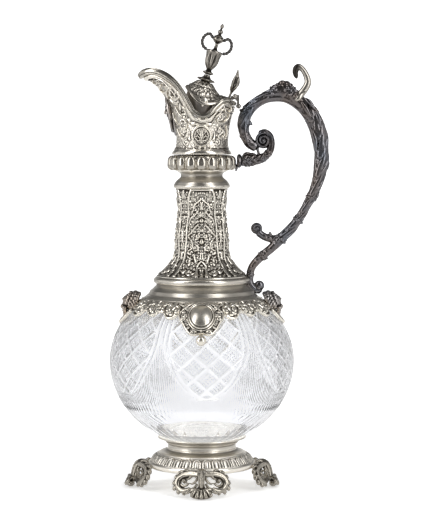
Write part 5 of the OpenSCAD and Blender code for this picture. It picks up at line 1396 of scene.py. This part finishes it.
# The plaster glows in its own tones: painted light, so it reads pale through the glass.
plaster_links.new(plaster_tone.outputs["Color"], plaster_shader.inputs["Emission Color"])
plaster_shader.inputs["Emission Strength"].default_value = 0.55
for node in ("foot_cement", "shoulder_cement"):
    wear(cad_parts[node], plaster_with_painted_glow)
# Plaster, with its painted glow, also covers the inner side of the collar, under the glass.
collar.data.materials.append(plaster_with_painted_glow)
for face in collar.data.polygons:
    inward = face.normal.x * face.center.x + face.normal.y * face.center.y < 0 or face.normal.z > 0.4
    seat = math.hypot(face.center.x, face.center.y) < 36.6 * MM and face.center.z > 41 * MM
    face.material_index = int(inward and seat)

# ---- Lid ---------------------------------------------------------------------------------
# The lid is a thin saddle of silver that follows the dips of the rim, raised into a chased
# dome in the middle. It is drawn closed and then turned to where it stands ajar.
hinge_x, hinge_z, lid_ajar = 28.0, 332.5, 17
crown_z = 329.1
finial_x = 0.5
lid_x, lid_half_l, lid_half_w, arch_r = 4.5, 19.2, 21.4, 27.4


def ajar(points):
    """Turns places on the closed lid to where they are with the lid ajar."""
    p = np.asarray(points, float) - (hinge_x, 0, hinge_z)
    c, s = math.cos(math.radians(lid_ajar)), math.sin(math.radians(lid_ajar))
    return p @ np.array([[c, 0, -s], [0, 1, 0], [s, 0, c]]) + (hinge_x, 0, hinge_z)


def stand_ajar(piece, dx=0.0):
    """Moves a piece that was turned on the jug's axis to its place on the lid."""
    co = ajar(points_of(piece) / MM + (dx, 0, 0)) * MM
    piece.data.vertices.foreach_set("co", co.ravel())
    piece.data.update()
    return piece


lid_steps = 240
phi = 2 * np.pi * np.arange(lid_steps) / lid_steps
off_x = finial_x - lid_x
qa = (np.cos(phi) / lid_half_l) ** 2 + (np.sin(phi) / lid_half_w) ** 2
qb = 2 * off_x * np.cos(phi) / lid_half_l**2
qc = (off_x / lid_half_l) ** 2 - 1
reach = (-qb + np.sqrt(qb * qb - 4 * qa * qc)) / (2 * qa)
share = np.linspace(0.004, 1, 120)[:, None]
lid_r = share * reach
dome_rows = through([(0, 7.7), (5.6, 7.4), (7.6, 6.4), (9.6, 4.6), (11.6, 2.8), (13.2, 1.5), (14.4, 0.9),
                     (15.2, 0.3), (16.4, 0)], 6)
raised = np.interp(lid_r, dome_rows[:, 0], dome_rows[:, 1])
lid_px, lid_py = finial_x + lid_r * np.cos(phi), lid_r * np.sin(phi)
saddle = crown_z - arch_r + np.sqrt(arch_r**2 - lid_py**2)
inner_share = np.clip((lid_r - 8) / 8, 0, 1)
plain = crown_z * (1 - inner_share) + saddle * inner_share
lid_turn = np.degrees(np.abs((phi + math.radians(22.5)) % math.radians(45) - math.radians(22.5)))[None] + 0 * lid_r
lid_strokes = [([(0, 5.2), (0, 9.6)], 1.6, 0.9, 0.9), ([(1.2, 10), (3.0, 9.4), (4.0, 6.4)], 0.7, 0.4, 0.8)]
lid_strokes += (curl(2.0, 12.4, 1.7, 1.1, 90, 0.55, 0.9) + leaf(0.4, 15.0, 70, 4.4, 1.1, 0.8)
                + boss(4.3, 9.0, 0.8, 1.0) + boss(4.4, 13.4, 1.0, 0.9))
lid_strokes += scatter(61, (0.2, 5), (5, 22), 1.9, 0.7, 0.6)
lid_lift = chase(np.radians(lid_turn) * 11, lid_r, lid_strokes)
to_lid_edge = (1 - share) * reach
lid_lift = np.where((to_lid_edge < 2.4) | (lid_r < 5), 0, lid_lift)
lid_lift = np.maximum(lid_lift, 0.6 * ridge(np.abs(to_lid_edge - 1.1), 0.9))
lid_top = np.stack([lid_px, lid_py + 0 * lid_r, plain + raised + lid_lift - 0.1], -1)
lid_under = np.stack([lid_px, lid_py + 0 * lid_r, plain + raised - 1.2], -1)[::-6]
# The lid is a darker copy of the silver: painted shade.
lid_silver_painted_shade = silver_metal("lid_silver_painted_shade", (0.62, 0.58, 0.515), (0.04, 0.034, 0.028), 0.2, 0.5, 0.5)
lid_rings = ajar(np.concatenate([lid_top, lid_under]).reshape(-1, 3)).reshape(-1, lid_steps, 3)
lid_cover = closed_shell("lid_chased", lid_rings, spread=12, depth=0.26)
wear(lid_cover, lid_silver_painted_shade)
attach(lid_cover, "lid")
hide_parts("lid")

# Under the plate a cheek on each side drops inside the rim and closes the dip. A leaf
# hangs over the middle of each edge.
cheek_y, cheek_h, cheek_l, cheek_w = 12.5, 21, lid_half_l - 2.5, lid_half_w - 2.5
cheek_end = math.acos(cheek_y / cheek_w)
cheek_start = 1.34
# The cheeks are a dark copy of the silver: painted shade, as they hang inside the rim.
lid_inside_painted_shade = silver_metal("lid_inside_painted_shade", (0.30, 0.275, 0.25), (0.05, 0.045, 0.04), 0.34, 0.5, 0.9)
for name, side in (("lid_cheek_front", -1), ("lid_cheek_back", 1)):
    bend = np.linspace(-cheek_start, cheek_end, 71)
    deep = cheek_h * (1 - 0.5 * np.clip((-cheek_end - bend) / (cheek_start - cheek_end), 0, 1))
    skins = []
    for grow in (0.0, 1.3):
        px, py = lid_x + (cheek_l - grow) * np.sin(bend), side * (cheek_w - grow) * np.cos(bend)
        top_z = crown_z - arch_r + np.sqrt(arch_r**2 - py**2) - 0.8
        drop = np.linspace(0, 1, 17)[:, None]
        skins.append(np.stack([px + 0 * drop, py + 0 * drop, top_z * (1 - drop) + (crown_z - deep) * drop], -1))
    wall = np.concatenate([skins[0], skins[1][::-1]])
    rows_n, columns_n = wall.shape[:2]
    i, j = np.meshgrid(np.arange(rows_n), np.arange(columns_n - 1), indexing="ij")
    this, after = i * columns_n + j, (i + 1) % rows_n * columns_n + j
    quads = np.stack([this, this + 1, after + 1, after], -1).reshape(-1, 4).tolist()
    ends = [[k * columns_n for k in range(rows_n)], [k * columns_n + columns_n - 1 for k in range(rows_n)][::-1]]
    cheek = new_piece(name, ajar(wall.reshape(-1, 3)), quads + ends)
    age(face_out(cheek), 6, 1.0)
    wear(cheek, lid_inside_painted_shade)
    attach(cheek, "lid")
tongue = mirrored([wax_rod([(4.4, -18.2, 323.8, 1.0, 1.6), (4.4, -19.2, 321.4, 1.1, 2.6),
                            (4.4, -19.7, 318.6, 1.0, 2.1), (4.4, -19.6, 316.2, 0.6, 0.7)], (1, 0, 0))]
                  + [wax_rod([(4.4 + dx, -18.4, 323.4, 0.7, 0.8), (4.4 + 1.9 * dx, -19.6, 320.6, 0.7, 0.9),
                              (4.4 + 1.2 * dx, -19.9, 317.8, 0.4, 0.5)], (1, 0, 0)) for dx in (-1.4, 1.4)])
leaf_drop = cast("lid_leaves_cast", [(ajar(p), f) for p, f in tongue], 0.3, 8, 0.25)
wear(leaf_drop, chased_silver)
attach(leaf_drop, "lid")

# The thumbpiece is a small cast leaf bud on a stalk, soldered to the lid's hinge leaf.
finial_silver = silver_metal("finial_silver", (0.31, 0.288, 0.255), (0.022, 0.019, 0.016), 0.16, 0.45, 0.3)
bud_x, bud_z = hinge_x - 4.6, crown_z + 1.65
bud = [(0, 0, 1.0, 2.2), (0.6, 4, 1.1, 1.8), (1.4, 8, 2.2, 3.2), (1.7, 12, 3.5, 4.4), (1.8, 15, 3.3, 4.0),
       (1.5, 18.6, 2.0, 2.4), (0.6, 24, 0.6, 0.8)]
bud_parts = [wax_rod([(bud_x + x, 0, bud_z + z, a, b) for x, z, a, b in bud])]
for side in (-1, 1):
    for k in range(3):
        for root, middle, tip in ((0.6 + 0.4 * k, 3.4, 3.2), (0.2, -0.4, -0.2)):
            bud_parts.append(wax_rod([(bud_x + root, side * 1.4, bud_z + 5 + 3.4 * k, 0.8, 0.9),
                                      (bud_x + middle, side * (4.4 - 0.5 * k), bud_z + 9.5 + 3 * k, 0.9, 1.0),
                                      (bud_x + tip, side * (5.2 - 1.1 * k), bud_z + 13 + 2.6 * k, 0.5, 0.5)],
                                     (1, 0, 0)))
bud_parts += [wax_rod([(bud_x + dx, 0, bud_z + 6, 0.7, 0.8), (bud_x + 2.4 * dx + 1.6, 0, bud_z + 12, 0.9, 1.1),
                       (bud_x + dx + 1.4, 0, bud_z + 20, 0.5, 0.6)]) for dx in (-0.9, 1.1)]
thumb = cast("thumbpiece_cast", [(ajar(p), f) for p, f in bud_parts], 0.3, 10, 0.25)
wear(thumb, finial_silver)
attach(thumb, "lid")
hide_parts("thumbpiece")

# ---- Finial ------------------------------------------------------------------------------
# Turned flange, fluted urn and knopped cap, on one stud with a nut under the lid. A beaded
# wire loop is soldered on each side, between the urn's edge and the cap.
dome_top = 336.74
urn_z, urn_h = 343.5, 21.0
cap_z = 370.54
flange_rows = [(3.4, 0.1), (3.6, 0.7), (6.4, 1.2), (7.8, 1.9), (7.9, 2.3), (7.0, 3.0), (4.4, 3.7), (3.2, 4.8),
               (2.7, 6), (2.6, 6.6)]
flange = spun("finial_flange_spun", at_height(flange_rows, dome_top), [(0.4, dome_top + 6.6), (0.4, dome_top)], 96,
              spread=5, depth=0.3)


def urn_relief(angle, row, path):
    z = path[row, 1] - urn_z
    rise = (z - 5.2) / (urn_h * 0.66)
    lobe = np.abs(np.cos(4 * angle)) - 0.55
    tongue = np.where((rise > 0) & (rise < 1), np.sin(np.pi * np.clip(rise, 0, 1)), 0)
    return 1.3 * lobe * tongue


urn_rows = [(2.6, 0.1), (4.7, 1.2), (4.7, 2.1), (2.8, 3), (2.3, 4.4), (3.2, 5.8), (4.8, 9.5), (5.4, 13.2), (5.8, 16),
            (6.8, 18.9), (7, 20), (6.2, 21), (3, 21.2), (1.8, 22.4), (1.5, 24), (1.5, 27)]
urn = spun("finial_urn_fluted", at_height(urn_rows, urn_z), [(0.4, urn_z + 27), (0.4, urn_z)], 160, urn_relief,
           spread=8, depth=0.3)
cap_rows = [(1.6, 0.1), (2.4, 0.6), (4.4, 2.6), (4.9, 3.6), (4.8, 4.6), (3.9, 5.4), (4.2, 6.0), (3.0, 6.8),
            (1.5, 8.0), (1.4, 8.6), (2.3, 9.8), (2.2, 11), (1.1, 12.3), (0.9, 13.2), (1.6, 14.6), (1.6, 15.6),
            (0.9, 16.8), (0.3, 17.4)]
cap = spun("finial_cap_spun", at_height(cap_rows, cap_z), [(0.1, cap_z + 17.3), (0.1, cap_z)], 96, spread=6,
           depth=0.3)
for piece, node in ((flange, "finial_flange"), (urn, "finial_urn"), (cap, "finial_cap")):
    stand_ajar(face_out(piece), finial_x)
    wear(piece, finial_silver)
    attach(piece, "lid")
    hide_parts(node)

loop_silver = silver_metal("loop_silver", (0.1, 0.095, 0.09), (0.012, 0.01, 0.009), 0.2, 0.4, 0.5)
loop_rows = [(7.4, 20.4), (10.4, 21.8), (12.6, 25.8), (11.8, 30.6), (8.8, 33.4), (6.4, 32.6), (4.8, 30.6)]
loop_line = through(loop_rows, 10)
for node, side in (("finial_loop_spout_side", -1), ("finial_loop_handle_side", 1)):
    wire = [(side * r + finial_x, 0, urn_z + z, 1.15, 1.15) for r, z in loop_line[::3]]
    parts = [wax_rod(wire, sides=8)]
    steps = np.concatenate([[0], np.cumsum(np.linalg.norm(np.diff(loop_line, axis=0), axis=1))])
    for far in np.arange(0.8, steps[-1], 2.5):
        r, z = np.interp(far, steps, loop_line[:, 0]), np.interp(far, steps, loop_line[:, 1])
        parts.append(wax_ball((side * r + finial_x, 0, urn_z + z), 1.5))
    loop = cast(node + "_beaded", [(ajar(p), f) for p, f in parts], 0.26, 6, 0.3)
    wear(loop, loop_silver)
    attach(loop, "lid")
    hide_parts(node)

# ---- Stage, light and camera -------------------------------------------------------------
# A white paper sweep, two long soft boxes at the sides and a large one above, as for a catalogue
# photograph. The paper also glows, painted light: to the camera it brightens away from the jug, and in
# reflections it is dimmer at the sides and high up, where it is also painted grey, a painted shade.
# The camera stands 1.6 m away, a little above the jug.
sweep_white = (0.9, 0.9, 0.9)
floor_mesh = bpy.data.meshes.new("sweep")
floor_rows = [(-3.0, 0.0), (1.2, 0.0), (1.7, 0.06), (2.05, 0.3), (2.2, 0.8), (2.2, 3.0)]
floor_points = [(x, y, z) for y, z in floor_rows for x in (-3.0, 3.0)]
floor_mesh.from_pydata(floor_points, [],
                       [(2 * i, 2 * i + 1, 2 * i + 3, 2 * i + 2) for i in range(len(floor_rows) - 1)])
floor_mesh.shade_smooth()
floor = bpy.data.objects.new("sweep", floor_mesh)
bpy.context.scene.collection.objects.link(floor)
paper = bpy.data.materials.new("sweep_paper")
paper.use_nodes = True
paper_shader = paper.node_tree.nodes["Principled BSDF"]
paper_shader.inputs["Base Color"].default_value = (*sweep_white, 1)
paper_shader.inputs["Roughness"].default_value = 0.9
paper_shader.inputs["Specular IOR Level"].default_value = 0.0
paper_shader.inputs["Emission Color"].default_value = (1, 1, 1, 1)
paper_nodes, paper_links = paper.node_tree.nodes, paper.node_tree.links
paper_place, paper_way = paper_nodes.new("ShaderNodeTexCoord"), paper_nodes.new("ShaderNodeSeparateXYZ")
paper_links.new(paper_place.outputs["Object"], paper_way.inputs["Vector"])
paper_ray, paper_colour_and_reflection_shade = paper_nodes.new("ShaderNodeLightPath"), paper_nodes.new("ShaderNodeMix")
paper_colour_and_reflection_shade.data_type = "RGBA"
paper_colour_and_reflection_shade.inputs[6].default_value = (*sweep_white, 1)
paper_colour_and_reflection_shade.inputs[7].default_value = (0.25, 0.25, 0.25, 1)
paper_links.new(paper_colour_and_reflection_shade.outputs[2], paper_shader.inputs["Base Color"])


def paper_fade(source, start, end, low, high):
    """Smooth change of the paper's own light along one way."""
    fade = paper_nodes.new("ShaderNodeMapRange")
    fade.interpolation_type = "SMOOTHSTEP"
    for socket, value in (("From Min", start), ("From Max", end), ("To Min", low), ("To Max", high)):
        fade.inputs[socket].default_value = value
    paper_links.new(source, fade.inputs["Value"])
    return fade.outputs["Result"]


def paper_sum(kind, a, b):
    node = paper_nodes.new("ShaderNodeMath")
    node.operation = kind
    for i, value in enumerate((a, b)):
        if isinstance(value, float):
            node.inputs[i].default_value = value
        else:
            paper_links.new(value, node.inputs[i])
    return node.outputs["Value"]


# Seen in reflections, the paper high up turns grey: painted shade.
paper_reflection_shade = paper_sum("MULTIPLY", paper_ray.outputs["Is Glossy Ray"],
                       paper_fade(paper_way.outputs["Z"], 0.5, 1.3, 0.0, 1.0))
paper_links.new(paper_reflection_shade, paper_colour_and_reflection_shade.inputs["Factor"])
seen, refracted = paper_ray.outputs["Is Camera Ray"], paper_ray.outputs["Is Transmission Ray"]
sideways = paper_sum("ABSOLUTE", paper_way.outputs["X"], 0.0)
paper_far = paper_nodes.new("ShaderNodeVectorMath")
paper_far.operation = "LENGTH"
paper_links.new(paper_place.outputs["Object"], paper_far.inputs[0])
# The paper's glow is painted light: to the camera it is stronger away from the jug, and in reflections it is weaker
# at the sides and top.
glow_seen = paper_sum("MAXIMUM", paper_fade(paper_way.outputs["Y"], -0.4, 0.8, 0.34, 0.95),
                      paper_fade(paper_far.outputs["Value"], 0.5, 1.3, 0.34, 1.0))
glow_met = paper_sum("MULTIPLY", paper_fade(paper_way.outputs["Y"], -0.4, 1.2, 0.2, 0.45),
                     paper_fade(sideways, 0.25, 0.75, 1.0, 0.3))
glow_met = paper_sum("MULTIPLY", glow_met, paper_fade(paper_way.outputs["Z"], 0.5, 1.3, 1.0, 0.2))
glow_through = paper_sum("MULTIPLY", paper_fade(paper_way.outputs["Y"], -0.3, 0.6, 0.42, 0.36),
                         paper_fade(paper_way.outputs["Z"], 0.1, 1.6, 1.0, 0.8))
glow_met = paper_sum("ADD", paper_sum("MULTIPLY", refracted, glow_through),
                     paper_sum("MULTIPLY", paper_sum("SUBTRACT", 1.0, refracted), glow_met))
glow_unseen = paper_sum("MULTIPLY", paper_sum("SUBTRACT", 1.0, seen), glow_met)
paper_glow = paper_sum("ADD", paper_sum("MULTIPLY", seen, glow_seen), glow_unseen)
paper_links.new(paper_glow, paper_shader.inputs["Emission Strength"])
floor_mesh.materials.append(paper)

aim_point = np.array((12.07, 0.0, 189.55)) * MM
camera_rise = math.radians(3.9)
camera_far = 1.6
camera_data = bpy.data.cameras.new("camera")
camera_data.lens = 127.6
camera_data.clip_end = 20
camera = bpy.data.objects.new("camera", camera_data)
bpy.context.scene.collection.objects.link(camera)
camera_way = np.array((0.0, -math.cos(camera_rise), math.sin(camera_rise)))
camera.location = (aim_point + camera_way * camera_far).tolist()
camera.rotation_euler = (math.pi / 2 - camera_rise, 0, 0)
bpy.context.scene.camera = camera


def soft_box(name, place, size, watts, aim=(0, 0, 0.2), tone=(1, 1, 1)):
    lamp = bpy.data.lights.new(name, "AREA")
    lamp.shape = "RECTANGLE"
    lamp.size, lamp.size_y = size
    lamp.energy = watts
    lamp.color = tone
    box = bpy.data.objects.new(name, lamp)
    box.location = place
    from_aim = np.array(place, float) - np.array(aim, float)
    yaw = math.atan2(from_aim[1], from_aim[0]) + math.pi / 2
    pitch = math.atan2(math.hypot(from_aim[0], from_aim[1]), from_aim[2])
    box.rotation_euler = (pitch, 0, yaw)
    bpy.context.scene.collection.objects.link(box)
    return box


soft_box("left_box", (-1.1, -0.7, 0.9), (0.5, 2.2), 11.0)
soft_box("right_box", (0.92, -0.92, 0.9), (0.55, 2.2), 11.0)
soft_box("top_box", (0.5, 0.5, 1.8), (1.2, 0.9), 4.5).visible_glossy = False
world = bpy.data.worlds.new("studio")
bpy.context.scene.world = world
world.use_nodes = True
sky_nodes, sky_links = world.node_tree.nodes, world.node_tree.links
sky_way = sky_nodes.new("ShaderNodeTexCoord")
sky_xyz = sky_nodes.new("ShaderNodeSeparateXYZ")
sky_links.new(sky_way.outputs["Generated"], sky_xyz.inputs["Vector"])
sky_fade, sky_top = sky_nodes.new("ShaderNodeMapRange"), sky_nodes.new("ShaderNodeMapRange")
for fade, way, values in ((sky_fade, "Y", (-0.8, -0.15, 0.22, 0.95)), (sky_top, "Z", (0.15, 0.7, 1.0, 0.22))):
    for socket, value in zip(("From Min", "From Max", "To Min", "To Max"), values):
        fade.inputs[socket].default_value = value
    sky_links.new(sky_xyz.outputs[way], fade.inputs["Value"])
sky_ray, sky_mix = sky_nodes.new("ShaderNodeLightPath"), sky_nodes.new("ShaderNodeMix")
sky_bright = sky_nodes.new("ShaderNodeMath")
sky_bright.operation = "MAXIMUM"
sky_links.new(sky_ray.outputs["Is Transmission Ray"], sky_bright.inputs[0])
sky_links.new(sky_ray.outputs["Is Camera Ray"], sky_bright.inputs[1])
sky_links.new(sky_bright.outputs["Value"], sky_mix.inputs["Factor"])
sky_dim = sky_nodes.new("ShaderNodeMath")
sky_dim.operation = "MULTIPLY"
sky_links.new(sky_fade.outputs["Result"], sky_dim.inputs[0])
sky_links.new(sky_top.outputs["Result"], sky_dim.inputs[1])
sky_links.new(sky_dim.outputs["Value"], sky_mix.inputs["A"])
sky_mix.inputs["B"].default_value = 1.0
sky_links.new(sky_mix.outputs["Result"], sky_nodes["Background"].inputs["Strength"])
sky_nodes["Background"].inputs["Color"].default_value = (1, 1, 1, 1)
bpy.context.scene.view_settings.view_transform = "Standard"
